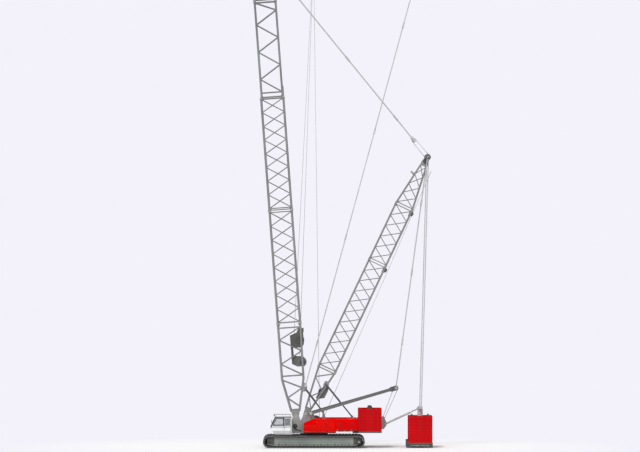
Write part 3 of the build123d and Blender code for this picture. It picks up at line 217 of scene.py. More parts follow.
# Mesh helpers
def make(name, bm, mat, body, smooth=False):
    """Object of a finished mesh, riding on a body where one is named."""
    mesh = bpy.data.meshes.new(name)
    bm.normal_update()
    bm.to_mesh(mesh)
    bm.free()
    obj = bpy.data.objects.new(name, mesh)
    bpy.context.scene.collection.objects.link(obj)
    mesh.materials.append(mat)
    if smooth:
        for p in mesh.polygons:
            p.use_smooth = True
    if body:
        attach(obj, body)
    return obj


def add_rod(bm, a, b, r, sides=8):
    """Rod between two points, with only end rings so that it stays straight when its ends part."""
    a, b = Vector(a), Vector(b)
    axis = (b - a).normalized()
    u = axis.orthogonal().normalized()
    v = axis.cross(u)
    rings = []
    for p in (a, b):
        rings.append([bm.verts.new(p + (u * math.cos(t) + v * math.sin(t)) * r)
                      for t in [2 * math.pi * i / sides for i in range(sides)]])
    for i in range(sides):
        j = (i + 1) % sides
        bm.faces.new((rings[0][i], rings[0][j], rings[1][j], rings[1][i]))
    bm.faces.new(rings[0][::-1])
    bm.faces.new(rings[1])


def add_path(bm, points, r, sides=8):
    """Tube along a bent path, mitred at its corners."""
    pts = [Vector(p) for p in points]
    rings = []
    u = None
    for i, p in enumerate(pts):
        before = (p - pts[i - 1]).normalized() if i else None
        after = (pts[i + 1] - p).normalized() if i + 1 < len(pts) else None
        tangent = (before + after).normalized() if before and after else (before or after)
        if u is None:
            u = tangent.orthogonal().normalized()
        u = (u - tangent * u.dot(tangent)).normalized()
        v = tangent.cross(u)
        rings.append([bm.verts.new(p + (u * math.cos(t) + v * math.sin(t)) * r)
                      for t in [2 * math.pi * k / sides for k in range(sides)]])
    for a, b in zip(rings, rings[1:]):
        for k in range(sides):
            j = (k + 1) % sides
            bm.faces.new((a[k], a[j], b[j], b[k]))
    bm.faces.new(rings[0][::-1])
    bm.faces.new(rings[-1])


def add_box(bm, lo, hi, bevel=0.0):
    """Box between two corners, with rounded edges where a bevel is given."""
    m = Matrix.LocRotScale((Vector(lo) + Vector(hi)) / 2, None, Vector(hi) - Vector(lo))
    made = bmesh.ops.create_cube(bm, size=1, matrix=m)
    if bevel:
        edges = {e for v in made["verts"] for e in v.link_edges}
        bmesh.ops.bevel(bm, geom=list(edges), offset=bevel, segments=2, affect="EDGES", profile=0.6)


def add_bolt(bm, p, normal, r=0.003, h=0.002):
    """Hexagon head with a washer, standing on a surface."""
    n = Vector(normal).normalized()
    add_rod(bm, Vector(p), Vector(p) + n * h * 0.3, r * 1.4, 10)
    add_rod(bm, Vector(p) + n * h * 0.3, Vector(p) + n * h, r, 6)


def mm(x, y, z):
    """Point in metres from millimetres."""
    return Vector((x, y, z)) / 1000


def local(pivot, angle, x, y, z):
    """Point in metres from millimetres along a boom, mast, jib or strut: x behind its axis, z along it."""
    px, pz = along(pivot, angle, z / 1000, x / 1000)
    return Vector((px, y / 1000, pz))


HEAD = along(BOOM_PIVOT, BOOM_ANGLE, HEAD_Z, 0.042)
JIB_PIVOT = along(BOOM_PIVOT, BOOM_ANGLE, HEAD_Z, -0.042)
REAR_BASE = HEAD
STAY_TOP = along(BOOM_PIVOT, BOOM_ANGLE, HEAD_Z - 0.074, 0.058)
MAST_TIP = along(MAST_PIVOT, MAST_ANGLE, MAST_TOP)
GANTRY_TIP = along(GANTRY_PIVOT, GANTRY_ANGLE, GANTRY_LENGTH)
JIB_TIP = along(JIB_PIVOT, JIB_ANGLE, JIB_TOP, -0.070)
STRUT_BASE = along(JIB_PIVOT, JIB_ANGLE, 0.066, 0.030)
REAR_TIP = along(REAR_BASE, REAR_ANGLE, STRUT)
FRONT_TIP = along(STRUT_BASE, FRONT_ANGLE, STRUT)
SIDES = (-1, 1)

# Ropes: radius, radii at which they lie on the wheels, and their places across the wheels
ROPE_R = 0.0021
BLOCK_R, LUFF_R, MAST_R, HOIST_R = 0.0203, 0.0223, 0.0243, 0.0363
LUFF_YS = (-0.026, -0.013, 0.0, 0.013, 0.026)
STAY_YS = (-0.032, -0.016, 0.0, 0.016, 0.032)
HOIST_YS = (-0.020, 0.020)
HOOK_Z = JIB_TIP[1] - 1.1


def offset_line(a, b, ra, rb):
    """Line in (x, z) that touches two wheels, of centres a and b and radii ra and rb, on the same side."""
    dx, dz = b[0] - a[0], b[1] - a[1]
    n = math.hypot(dx, dz)
    nx, nz = -dz / n, dx / n
    return (a[0] + nx * ra, a[1] + nz * ra), (b[0] + nx * rb, b[1] + nz * rb)


def rope_lines(a, b, ra, rb, ys, sides=(1,)):
    """Ropes from wheel a to wheel b, each with its y at both ends, on the given sides of the wheels."""
    lines = []
    for y0, y1 in ys:
        for side in sides:
            start, end = offset_line(a, b, ra * side, rb * side)
            lines.append((at(start, y0), at(end, y1)))
    return lines


def ropes(name, lines, bodies):
    """Straight taut ropes as one piece, riding on one body where one is named, and on none where two are."""
    bm = bmesh.new()
    for a, b in lines:
        add_rod(bm, a, b, ROPE_R)
    obj = make(name, bm, ROPE, bodies[0] if len(bodies) == 1 else None, True)
    if len(bodies) == 2:
        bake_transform(obj)
    return obj


GUIDE = along(REAR_BASE, REAR_ANGLE, 0.531, -0.018)
GUIDE_YS = (-0.036, 0.0, 0.036)
DRUM_HIGH = along(BOOM_PIVOT, BOOM_ANGLE, 0.812, 0.086)
DRUM_LOW = along(BOOM_PIVOT, BOOM_ANGLE, 0.577, 0.110)
HOIST_WINCH, MAST_WINCH = (0.022, 0.285), (0.124, 0.262)
DECK_WINCHES = (
    # name, centre (x, z), radius under the rope, radius of the motors
    ("front", (-0.082, 0.285), 0.0362, 0.026),
    ("second", HOIST_WINCH, 0.0362, 0.026),
    ("third", MAST_WINCH, 0.0362, 0.026),
    ("rear", (0.262, 0.250), 0.0442, 0.032),
)
ropes("boom_winch_ropes", rope_lines(DRUM_HIGH, GUIDE, 0.048, BLOCK_R, [(-0.036, -0.036)])
      + rope_lines(DRUM_LOW, GUIDE, 0.032, BLOCK_R, [(0.036, 0.036)]), ["boom"])
ropes("hoist_lead", rope_lines(HOIST_WINCH, GUIDE, -0.038, BLOCK_R, [(0.0, 0.0)]), ["upper", "boom"])
mast_roller = along(MAST_PIVOT, MAST_ANGLE, 2.902, 0.098)
ropes("mast_lead", rope_lines(MAST_WINCH, mast_roller, 0.038, 0.0, [(0.0, 0.0)]), ["upper", "mast"])
ropes("strut_leads", rope_lines(GUIDE, REAR_TIP, BLOCK_R, LUFF_R, ((0.0, 0.0), (0.036, 0.01296))), ["boom"])
ropes("jib_luffing_ropes", rope_lines(REAR_TIP, FRONT_TIP, LUFF_R, LUFF_R, zip(LUFF_YS, LUFF_YS), SIDES),
      ["boom", "jib"])
ropes("jib_head_leads", rope_lines(GUIDE, JIB_TIP, -BLOCK_R, -HOIST_R, ((-0.036, -0.020), (0.0, 0.020))),
      ["boom", "jib"])
hook_wheel = (JIB_TIP[0], HOOK_Z)
falls = [(at((JIB_TIP[0] + side * HOIST_R, JIB_TIP[1]), y), at((JIB_TIP[0] + side * HOIST_R, HOOK_Z), y))
         for y in HOIST_YS for side in SIDES]
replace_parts(ropes("hook_falls", falls, ["hoist_fall", "hook"]), "hoist_ropes")
stay_run = math.dist(STAY_TOP, MAST_TIP)
block = [STAY_TOP[i] + (MAST_TIP[i] - STAY_TOP[i]) * (stay_run - 0.230) / stay_run for i in (0, 1)]
stay_lines = rope_lines(block, MAST_TIP, BLOCK_R, MAST_R, zip(STAY_YS, STAY_YS), SIDES)
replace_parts(ropes("boom_stay_ropes", stay_lines, ["boom_stay", "stay_fall"]), "stay_ropes")
ropes("gantry_reeving", rope_lines(GANTRY_TIP, (0.740, 0.306), LUFF_R, 0.0103, (
    (-0.034, -0.009), (-0.016, -0.006), (0.016, 0.006), (0.034, 0.009)), SIDES), ["gantry", "upper"])


def arc_rope(bm, centre, radius, y, start, end, steps=14):
    """Rope lying in a wheel's groove between two angles."""
    pts = []
    for i in range(steps + 1):
        a = math.radians(start + (end - start) * i / steps)
        pts.append((centre[0] + radius * math.cos(a), y, centre[1] + radius * math.sin(a)))
    add_path(bm, pts, ROPE_R, 6)


def wraps(name, table, body):
    """Rope over the crowns of several wheels: centre, radius, y and the two angles of each."""
    bm = bmesh.new()
    for centre, radius, ys, start, end in table:
        for y in ys:
            arc_rope(bm, centre, radius, y, start, end)
    obj = make(name, bm, ROPE, body, True)


down = math.degrees(math.atan2(MAST_TIP[1] - STAY_TOP[1], MAST_TIP[0] - STAY_TOP[0]))
lean = math.degrees(math.atan2(FRONT_TIP[1] - REAR_TIP[1], FRONT_TIP[0] - REAR_TIP[0]))
wraps("boom_wraps", (
    (GUIDE, BLOCK_R, GUIDE_YS, 90, 190),
    (REAR_TIP, LUFF_R, LUFF_YS, lean - 270, lean - 90),
), "boom")
wraps("jib_wraps", (
    (FRONT_TIP, LUFF_R, LUFF_YS, lean - 90, lean + 90),
    (JIB_TIP, HOIST_R, HOIST_YS, 0, 180),
), "jib")
wraps("mast_wraps", ((MAST_TIP, MAST_R, STAY_YS, down - 90, down + 90),), "mast")
wraps("stay_wraps", ((block, BLOCK_R, STAY_YS, down + 90, down + 270),), "boom_stay")
wraps("hook_wraps", ((hook_wheel, HOIST_R, HOIST_YS, 180, 360),), "hook")
wraps("gantry_wraps", ((GANTRY_TIP, LUFF_R, (-0.034, -0.016, 0.016, 0.034), -30, 150),), "gantry")


def coil(name, centre, radius, half, body, turns):
    """Layer of rope wound on a drum, as a scalloped sleeve."""
    bm = bmesh.new()
    sides = 40
    step = half / turns
    profile = []
    for i in range(turns):
        y = -half + 2 * half * (i + 0.5) / turns
        profile += [(y - step * 0.98, radius), (y - step * 0.5, radius + step * 0.75),
                    (y, radius + step * 0.95), (y + step * 0.5, radius + step * 0.75)]
    profile.append((half, radius))
    rings = []
    for y, r in profile:
        rings.append([bm.verts.new((centre[0] + r * math.cos(t), y, centre[1] + r * math.sin(t)))
                      for t in [2 * math.pi * k / sides for k in range(sides)]])
    for a, b in zip(rings, rings[1:]):
        for k in range(sides):
            bm.faces.new((a[k], b[k], b[(k + 1) % sides], a[(k + 1) % sides]))
    obj = make(name, bm, ROPE, body, True)


for name, centre, radius, _ in DECK_WINCHES:
    coil("coil_" + name, centre, radius, 0.068, "upper", 30)
coil("coil_boom_high", DRUM_HIGH, 0.0462, 0.096, "boom", 40)
coil("coil_boom_low", DRUM_LOW, 0.0302, 0.096, "boom", 40)
coil("coil_mast", along(MAST_PIVOT, MAST_ANGLE, 0.284, 0.063), 0.0322, 0.068, "mast", 30)


def piece(name, mat, body):
    """Collects geometry and makes one object of it when the block ends."""
    class Block:
        def __enter__(self):
            self.bm = bmesh.new()
            return self.bm

        def __exit__(self, *error):
            obj = make(name, self.bm, mat, body)
    return Block()


def strip(bm, x0, x1, y0, y1, z0, z1, bevel=0.0006):
    """Box between limits in millimetres; y0 and y1 may come in either order."""
    add_box(bm, mm(x0, min(y0, y1), z0), mm(x1, max(y0, y1), z1), bevel)


def frame_around(bm, corners, y, width, depth):
    """Seal or frame along a closed outline of (x, z) millimetres on a side face."""
    ring = [Vector((x, z)) for x, z in corners]
    count = len(ring)
    rows = []
    for i in range(count):
        before = (ring[i] - ring[i - 1]).normalized()
        after = (ring[(i + 1) % count] - ring[i]).normalized()
        side = Vector((-before.y, before.x))
        mitre = side + Vector((-after.y, after.x))
        mitre /= max(0.3, mitre.dot(side))  # kept short at a sharp corner
        p, q = ring[i] + mitre * width / 2, ring[i] - mitre * width / 2
        rows.append([bm.verts.new(mm(p.x, y, p.y)), bm.verts.new(mm(p.x, y + depth, p.y)),
                     bm.verts.new(mm(q.x, y + depth, q.y)), bm.verts.new(mm(q.x, y, q.y))])
    for a, b in zip(rows, rows[1:] + rows[:1]):
        for k in range(4):
            bm.faces.new((a[k], b[k], b[(k + 1) % 4], a[(k + 1) % 4]))


def bolt_ring(bm, centre, y, face, radius, count, r, h):
    """Bolts in a circle around a point (x, z), on a side face."""
    for k in range(count):
        a = 2 * math.pi * k / count
        add_bolt(bm, (centre[0] + radius * math.cos(a), y, centre[1] + radius * math.sin(a)),
                 (0, face, 0), r, h)


def plate(bm, front, back):
    """Flat plate between two like outlines."""
    a, b = [bm.verts.new(p) for p in front], [bm.verts.new(p) for p in back]
    bm.faces.new(a)
    bm.faces.new(b[::-1])
    for i in range(len(a)):
        j = (i + 1) % len(a)
        bm.faces.new((a[i], b[i], b[j], a[j]))


# Crawlers: link pins, shoe webs, hub covers, side bolts and weld lines
TRACK_R, TRACK_LENGTH, SHOES = 65.0, 1080.0, 66
TRACKS = (("left", -360), ("right", 360))
FRAME_HALF = 58


def loop(distance, offset):
    """Point (x, z) at a distance along the track's loop, and at an offset inside it."""
    run, arc = TRACK_LENGTH - 2 * TRACK_R, math.pi * TRACK_R
    s = distance % (2 * run + 2 * arc)
    if s < run:
        return -run / 2 + s, 2 * TRACK_R - offset
    s -= run
    if s < arc:
        return (run / 2 + (TRACK_R - offset) * math.sin(s / TRACK_R),
                TRACK_R + (TRACK_R - offset) * math.cos(s / TRACK_R))
    s -= arc
    if s < run:
        return run / 2 - s, offset
    a = (s - run) / TRACK_R
    return -run / 2 - (TRACK_R - offset) * math.sin(a), TRACK_R - (TRACK_R - offset) * math.cos(a)


pitch = (2 * (TRACK_LENGTH - 2 * TRACK_R) + 2 * math.pi * TRACK_R) / SHOES
for track_name, centre in TRACKS:
    with piece("link_pins_" + track_name, STEEL, "undercarriage") as bm:
        for i in range(SHOES):
            for face in SIDES:
                y = centre + face * 75
                for share in (0.3, 0.7):
                    x, z = loop((i + share) * pitch, 9)
                    add_rod(bm, mm(x, y - face, z), mm(x, y + face * 0.1, z), 0.0022, 6)
    with piece("shoe_webs_" + track_name, SHOE, "undercarriage") as bm:
        for i in range(SHOES):
            x, z = loop((i + 0.5) * pitch, 14)
            for face in SIDES:
                add_rod(bm, mm(x, centre + face * 74, z), mm(x, centre + face * 75.05, z), 0.0036, 8)
    with piece("hub_covers_" + track_name, SHOE, "undercarriage") as bm:
        for face in SIDES:
            y = centre + face * FRAME_HALF
            for x, r, steps in ((475, 30, ((30, 6), (24, 11), (12, 14))), (-475, 16, ((16, 4), (9, 7)))):
                for radius, reach in steps:
                    add_rod(bm, mm(x, y - face, TRACK_R), mm(x, y + face * reach, TRACK_R), radius / 1000, 28)
                bolt_ring(bm, (x / 1000, TRACK_R / 1000), (y + face * steps[0][1]) / 1000, face,
                          (r - 4) / 1000, 10, 0.0014, 0.0012)
    with piece("side_bolts_" + track_name, STEEL, "undercarriage") as bm:
        face = 1 if centre > 0 else -1
        outer = centre + face * FRAME_HALF
        for left, right in ((-330, -145), (-145, 139), (139, 340)):
            for x in range(left + 16, right - 10, 28):
                for z in (54, 107):
                    add_bolt(bm, mm(x, outer, z), (0, face, 0), 0.0015, 0.0012)
    with piece("frame_weld_" + track_name, CRAWLER, "undercarriage") as bm:
        for x in (-402, -330, -145, 139, 340, 398):
            add_rod(bm, mm(x, outer, 50), mm(x, outer, 109), 0.0014, 6)
        add_rod(bm, mm(-404, outer, 50), mm(400, outer, 50), 0.0012, 6)

# Crawler frames: dark end plates, roller caps and hub plates
for track_name, centre in TRACKS:
    with piece("nose_plates_" + track_name, SHOE, "undercarriage") as bm:
        for face in SIDES:
            y = centre + face * FRAME_HALF
            for end in SIDES:
                outline = [(end * x, z) for x, z in
                           ((417, 33), (417, 110), (488, 98), (492, 92), (492, 48), (488, 42))]
                plate(bm, [mm(x, y + face * 1.2, z) for x, z in outline],
                      [mm(x, y - face * 0.5, z) for x, z in outline])
        bmesh.ops.recalc_face_normals(bm, faces=bm.faces)
    with piece("roller_caps_" + track_name, SHOE, "undercarriage") as bm:
        for face in SIDES:
            y = centre + face * FRAME_HALF
            for i in range(11):
                x = -370 + 74 * i
                add_rod(bm, mm(x, y - face, 38), mm(x, y + face * 2.5, 38), 0.0075, 16)
                strip(bm, x + 26, x + 48, y, y + face, 31, 36, 0.0003)
    with piece("hub_plate_" + track_name, FRAME, "undercarriage") as bm:
        for face in SIDES:
            y = centre + face * 72
            strip(bm, 467, 483, y, y + face, 57, 73, 0.0006)

# Car body: bolted beam flanges and the slew ring's bolts
with piece("beam_bolts", STEEL, "undercarriage") as bm:
    for x in (-175, 175):
        for side in SIDES:
            for dx in range(-50, 60, 20):
                add_bolt(bm, mm(x + dx, side * 296, 108), (0, 0, 1), 0.0032, 0.003)
    for k in range(48):
        a = 2 * math.pi * k / 48
        add_bolt(bm, mm(158 * math.cos(a), 158 * math.sin(a), 130), (0, 0, 1), 0.0026, 0.0026)

# Cab: stripe, seals, wiper, mirrors, rails, roof guard, lamps, steps and seat levers
CAB_OUT, CAB_IN = -300, -185


def windscreen(z):
    """x of the sloped windscreen at a height, in millimetres."""
    return -461 + (z - 212) * 53 / 118


with piece("cab_stripe", STRIPE, "upper") as bm:
    strip(bm, -447, -262, CAB_OUT - 0.4, CAB_OUT + 1, 182, 207, 0.0002)
    strip(bm, -447, -262, CAB_IN - 1, CAB_IN + 0.4, 182, 207, 0.0002)
with piece("cab_skirt", FRAME, "upper") as bm:
    strip(bm, -418, -236, CAB_OUT - 1.2, CAB_OUT + 1, 140, 150, 0.0004)
    strip(bm, -418, -236, CAB_IN - 1, CAB_IN + 1.2, 140, 150, 0.0004)
window = [(-318, 239), (-318, 312), (-398, 312), (-431, 239)]
with piece("cab_seals", RUBBER, "upper") as bm:
    for y in (CAB_OUT - 1, CAB_IN - 0.6):
        frame_around(bm, window, y, 8, 1.6)
        strip(bm, -325, -316.5, y, y + 1.6, 236, 320, 0.0003)
    strip(bm, -411, -236, CAB_OUT - 0.8, CAB_OUT + 0.6, 319, 328, 0.0003)
    strip(bm, -411, -236, CAB_IN - 0.6, CAB_IN + 0.8, 319, 328, 0.0003)
    for y in (CAB_OUT + 7, CAB_IN - 7):
        add_rod(bm, mm(-456.5, y, 222), mm(-413.5, y, 318), 0.0032, 6)
    for y in (CAB_OUT, CAB_IN):
        add_rod(bm, mm(-455, y, 216), mm(-405, y, 327), 0.0042, 10)
    for z in (223, 317):
        x = windscreen(z) - 1
        add_rod(bm, mm(x, CAB_OUT + 7, z), mm(x, CAB_IN - 7, z), 0.0032, 6)
with piece("door_seals", RUBBER, "cab_door") as bm:
    frame_around(bm, [(-255, 239), (-255, 306), (-305, 306), (-305, 239)], CAB_OUT - 5.2, 4, 1.2)
    frame_around(bm, [(-247, 147), (-247, 317), (-313, 317), (-313, 147)], CAB_OUT - 4.9, 1.4, 0.8)
with piece("door_stripe", STRIPE, "cab_door") as bm:
    strip(bm, -313.5, -246.5, CAB_OUT - 4.9, CAB_OUT - 4, 182, 207, 0.0001)
with piece("cab_wiper", RUBBER, "upper") as bm:
    foot, tip = windscreen(226) - 4, windscreen(296) - 4
    add_path(bm, [mm(foot, -246, 226), mm(tip, -222, 286)], 0.0012, 6)
    add_path(bm, [mm(tip - 22, -226, 246), mm(tip + 2, -218, 298)], 0.0014, 6)
with piece("cab_mirrors", DARK, "upper") as bm:
    for y, out in ((CAB_OUT, -1), (CAB_IN, 1)):
        arm = [mm(-430, y + out * 0.5, 262), mm(-444, y + out * 9, 268), mm(-446, y + out * 10, 290)]
        add_path(bm, arm, 0.0013, 6)
        strip(bm, -449, -444, y + out * 4, y + out * 17, 262, 292, 0.001)
with piece("cab_rails", STEEL, "upper") as bm:
    grab = [mm(-316.5, CAB_OUT + 0.5, 190), mm(-317, CAB_OUT - 8, 192),
            mm(-317, CAB_OUT - 8, 234), mm(-316.5, CAB_OUT + 0.5, 236)]
    add_path(bm, grab, 0.0014, 8)
    for x in (-400, -330, -262):
        for y in (CAB_OUT + 10, CAB_IN - 10):
            add_rod(bm, mm(x, y, 329), mm(x, y, 352), 0.0014, 6)
with piece("cab_guard", FRAME, "upper") as bm:
    for y in (CAB_OUT + 8, CAB_IN - 8):
        strip(bm, -428, -244, y - 2, y + 2, 350, 356, 0.0006)
        add_path(bm, [mm(-408, y, 330), mm(-428, y, 352)], 0.002, 6)
    for i in range(12):
        x = -426 + i * 16.4
        strip(bm, x - 1.4, x + 1.4, CAB_OUT + 8, CAB_IN - 8, 351, 355, 0.0004)
    for x in (-300, -248):
        for y in (CAB_OUT + 8, CAB_IN - 8):
            strip(bm, x - 2, x + 2, y - 2, y + 2, 329, 351, 0.0004)
with piece("cab_lamps", DARK, "upper") as bm:
    for y in (CAB_OUT + 22, CAB_IN - 22):
        strip(bm, -424, -412, y - 7, y + 7, 334, 346, 0.001)
        strip(bm, -416, -410, y - 2, y + 2, 328, 336, 0.0005)
with piece("cab_lamp_lenses", LAMP, "upper") as bm:
    for y in (CAB_OUT + 22, CAB_IN - 22):
        strip(bm, -425, -423.4, y - 5.6, y + 5.6, 335.4, 344.6, 0.0004)
with piece("cab_steps", FRAME, "upper") as bm:
    strip(bm, -312, -246, CAB_OUT - 22, CAB_OUT + 1, 139.5, 141.5, 0.0004)
    for x in (-310, -248):
        add_path(bm, [mm(x, CAB_OUT + 0.5, 146), mm(x, CAB_OUT - 20, 141)], 0.0016, 6)
with piece("seat_levers", PLASTIC, "upper") as bm:
    for y in (-272, -213):
        strip(bm, -346, -300, y - 6, y + 6, 184, 190, 0.0015)
        add_rod(bm, mm(-340, y, 190), mm(-345, y, 208), 0.0014, 8)
        knob = Matrix.Translation(mm(-345.5, y, 210))
        bmesh.ops.create_icosphere(bm, subdivisions=2, radius=0.0035, matrix=knob)
    strip(bm, -402, -398, -258, -227, 205, 228, 0.001)

# Machine houses: latches, hinges, vent fins with painted shade strips under them, bolts, lift eyes and roof
# panels
HOUSE_FACE, VENTS, FINS, FIN_PITCH = 300.3, ((240, 330), (350, 440)), 9, 9
for house, out in (("left", -1), ("right", 1)):
    y = out * HOUSE_FACE
    with piece("house_hardware_and_vent_shade_" + house, DARK, "upper") as bm:
        for x0, x1, z1 in ((-90, 20, 252), (28, 120, 294), (128, 216, 294)):
            strip(bm, x1 - 12, x1 - 5, y, y + out * 2.2, 218, 232, 0.0008)
            for z in (192, z1 - 22):
                add_rod(bm, mm(x0 + 2, y + out * 0.6, z - 7), mm(x0 + 2, y + out * 0.6, z + 7), 0.0018, 8)
        # Dark strips recessed behind the face just under each fin: painted shade of the vent slots
        for x0, x1 in VENTS:
            for i in range(FINS):
                z = 207.4 + i * FIN_PITCH
                strip(bm, x0 + 1, x1 - 1, y - out * 2.6, y - out * 3.4, z, z + 1.4, 0.0002)
    with piece("house_fins_" + house, RED, "upper") as bm:
        for x0, x1 in VENTS:
            for i in range(FINS):
                z = 210 + i * FIN_PITCH
                strip(bm, x0, x1, y - out * 2.4, y + out * 1.2, z, z + 1.2, 0.0003)
    with piece("house_bolts_" + house, STEEL, "upper") as bm:
        for x in range(-96, 460, 26):
            add_bolt(bm, mm(x, y, 191 if x > 236 else 170), (0, out, 0), 0.0013, 0.001)
            if x > 0:
                add_bolt(bm, mm(x, y, 303), (0, out, 0), 0.0013, 0.001)
        for x in (20, 230, 440):
            for dy in (170, 280):
                add_rod(bm, mm(x, out * dy, 305), mm(x, out * dy, 308), 0.005, 12)
    with piece("house_roof_" + house, RED, "upper") as bm:
        for x0, x1 in ((14, 150), (156, 300), (306, 452)):
            strip(bm, x0, x1, out * 166, out * 288, 305, 308.4, 0.0012)

# Revolving frame: hose connections with hoses, girder bolts and ribs, deck lines and winch motors
GIRDER_FACE = 152
with piece("swing_housing", DARK, "upper") as bm:
    for out in SIDES:
        y = out * GIRDER_FACE
        add_rod(bm, mm(-199, y - out, 228), mm(-199, y + out * 9, 228), 0.024, 28)
        add_rod(bm, mm(-199, y + out * 8, 228), mm(-199, y + out * 20, 228), 0.015, 24)
        bolt_ring(bm, (-0.199, 0.228), (y + out * 9) / 1000, out, 0.020, 8, 0.002, 0.0016)
        for k, x in enumerate((-206, -199, -192)):
            hose = [mm(x, y + out * 15, 230), mm(x - 4, y + out * 17, 206 - k * 3),
                    mm(x + 14, y + out * 12, 190), mm(x + 60, y + out * 5, 184 - k * 5)]
            add_path(bm, hose, 0.0026, 8)
with piece("girder_bolts", STEEL, "upper") as bm:
    for out in SIDES:
        for x in range(-236, -112, 20):
            add_bolt(bm, mm(x, out * GIRDER_FACE, 158), (0, out, 0), 0.0018, 0.0015)
        for x in range(484, 706, 24):
            add_bolt(bm, mm(x, out * 56, 318), (0, out, 0), 0.002, 0.0016)
with piece("girder_ribs", FRAME, "upper") as bm:
    for out in SIDES:
        for x in (-238, -158, -122):
            strip(bm, x - 3, x + 3, out * 151.5, out * 155.5, 152, 276 if x < -130 else 290, 0.0008)
        strip(bm, -243, -112, out * 151.5, out * 160, 150.5, 154.5, 0.0008)
with piece("deck_lines", STEEL, "upper") as bm:
    for k in range(4):
        y = -18 + 12 * k
        add_path(bm, [mm(340, y, 303), mm(420, y, 303), mm(466, y, 303)], 0.002, 8)
    for k in range(3):
        y = 70 - k * 7
        add_path(bm, [mm(-240, y, 168), mm(-150, y, 168), mm(178, y, 168)], 0.0024, 8)
with piece("winch_motors", WINCH, "upper") as bm:
    for _, centre, _, motor_r in DECK_WINCHES:
        for out in SIDES:
            add_rod(bm, at(centre, out * 0.077), at(centre, out * 0.082), motor_r, 24)
            bolt_ring(bm, centre, out * 0.082, out, motor_r - 0.004, 8, 0.0022, 0.002)

# Pale catwalk under the rear of the houses, with a grating and brackets
with piece("catwalk", STRIPE, "upper") as bm:
    for out in SIDES:
        strip(bm, 232, 410, out * 296, out * 299, 152, 172, 0.0006)
        for x in range(234, 412, 16):
            strip(bm, x - 1.5, x + 1.5, out * 153, out * 299, 154, 160, 0.0003)
        for y in (190, 230, 270):
            strip(bm, 232, 410, out * (y - 1.2), out * (y + 1.2), 154.5, 159.5, 0.0003)
        for x in (250, 320, 392):
            strip(bm, x - 2, x + 2, out * 284, out * 294, 158, 187, 0.0004)

# Dark round covers at the mast head and on the mast's joints, and rims of the boom winches
with piece("mast_guards", DARK, "mast") as bm:
    for out in SIDES:
        for x, z, y0, y1, radius, sides in (
            (0, 3020, 76, 80, 0.034, 28), (0, 2972, 76, 79, 0.028, 28),
            (105, 1742, 100, 104, 0.022, 20), (103, 2400, 100, 104, 0.022, 20),
        ):
            add_rod(bm, local(MAST_PIVOT, MAST_ANGLE, x, out * y0, z),
                    local(MAST_PIVOT, MAST_ANGLE, x, out * y1, z), radius, sides)
for place, drum, radius in (("high", DRUM_HIGH, 0.040), ("low", DRUM_LOW, 0.030)):
    with piece("boom_winch_rims_" + place, DARK, "boom") as bm:
        for out in SIDES:
            add_rod(bm, at(drum, out * 0.1075), at(drum, out * 0.1185), radius, 28)
            bolt_ring(bm, drum, out * 0.1185, out, 0.8 * radius, 10, 0.003, 0.0025)

# Counterweight: lift eyes, base bolts, corner strips and slab pads
WEIGHT_FACE = 325
with piece("weight_hardware", DARK, "upper") as bm:
    for out in SIDES:
        for y in (110, 275):
            strip(bm, 572, 614, out * (y - 7.5), out * (y + 7.5), 423.5, 436.5, 0.002)
            strip(bm, 563, 623, out * (y - 7.5), out * (y + 7.5), 410.5, 416, 0.001)
    for x in range(486, 712, 32):
        for out in SIDES:
            add_bolt(bm, mm(x, out * WEIGHT_FACE, 165), (0, out, 0), 0.0026, 0.002)
with piece("weight_pockets", WEIGHT, "upper") as bm:
    for out in SIDES:
        inner, outer = out * (WEIGHT_FACE - 0.5), out * (WEIGHT_FACE + 2.5)
        for x in (500, 690):
            strip(bm, x - 4, x + 4, inner, outer, 176, 410, 0.001)
            for z in (184, 402):
                add_bolt(bm, mm(x, outer, z), (0, out, 0), 0.0035, 0.003)
        for i in range(8):
            z = 172 + (i + 0.5) * 29.9
            for x in (540, 650):
                strip(bm, x - 13, x + 13, inner + out * 0.1, outer - out * 1.1, z - 7, z + 7, 0.0008)

# Derrick ballast: lift eyes, tray bolts, corner strips, slab pads and hanger pins
BALLAST_FACE = 330
with piece("ballast_hardware", DARK, "ballast") as bm:
    for out in SIDES:
        for x in (1040, 1214):
            for y in (90, 285):
                add_rod(bm, mm(x, out * y, 331.5), mm(x, out * y, 334), 0.012, 16)
                eye = [mm(x + dx, out * y, z) for dx, z in ((-8, 333), (-6, 347), (6, 347), (8, 333))]
                add_path(bm, eye, 0.002, 8)
        for x in range(1012, 1250, 26):
            add_bolt(bm, mm(x, out * BALLAST_FACE, 39), (0, out, 0), 0.0026, 0.002)
with piece("ballast_pads", WEIGHT, "ballast") as bm:
    for out in SIDES:
        inner, outer = out * (BALLAST_FACE - 0.5), out * (BALLAST_FACE + 2.5)
        for x in (1040, 1214):
            strip(bm, x - 4, x + 4, inner, outer, 54, 331, 0.001)
        for i in range(9):
            z = 53 + (i + 0.5) * 31
            for x in (1084, 1170):
                strip(bm, x - 13, x + 13, inner + out * 0.1, outer - out * 1.1, z - 7, z + 7, 0.0008)
with piece("hanger_pins", STEEL, "ballast") as bm:
    for out in SIDES:
        add_bolt(bm, mm(1132, out * 98, 416), (0, out, 0), 0.008, 0.006)
        for x in (1112, 1141):
            for z in (350, 388):
                add_bolt(bm, mm(x, out * 32, z), (0, out, 0), 0.004, 0.003)

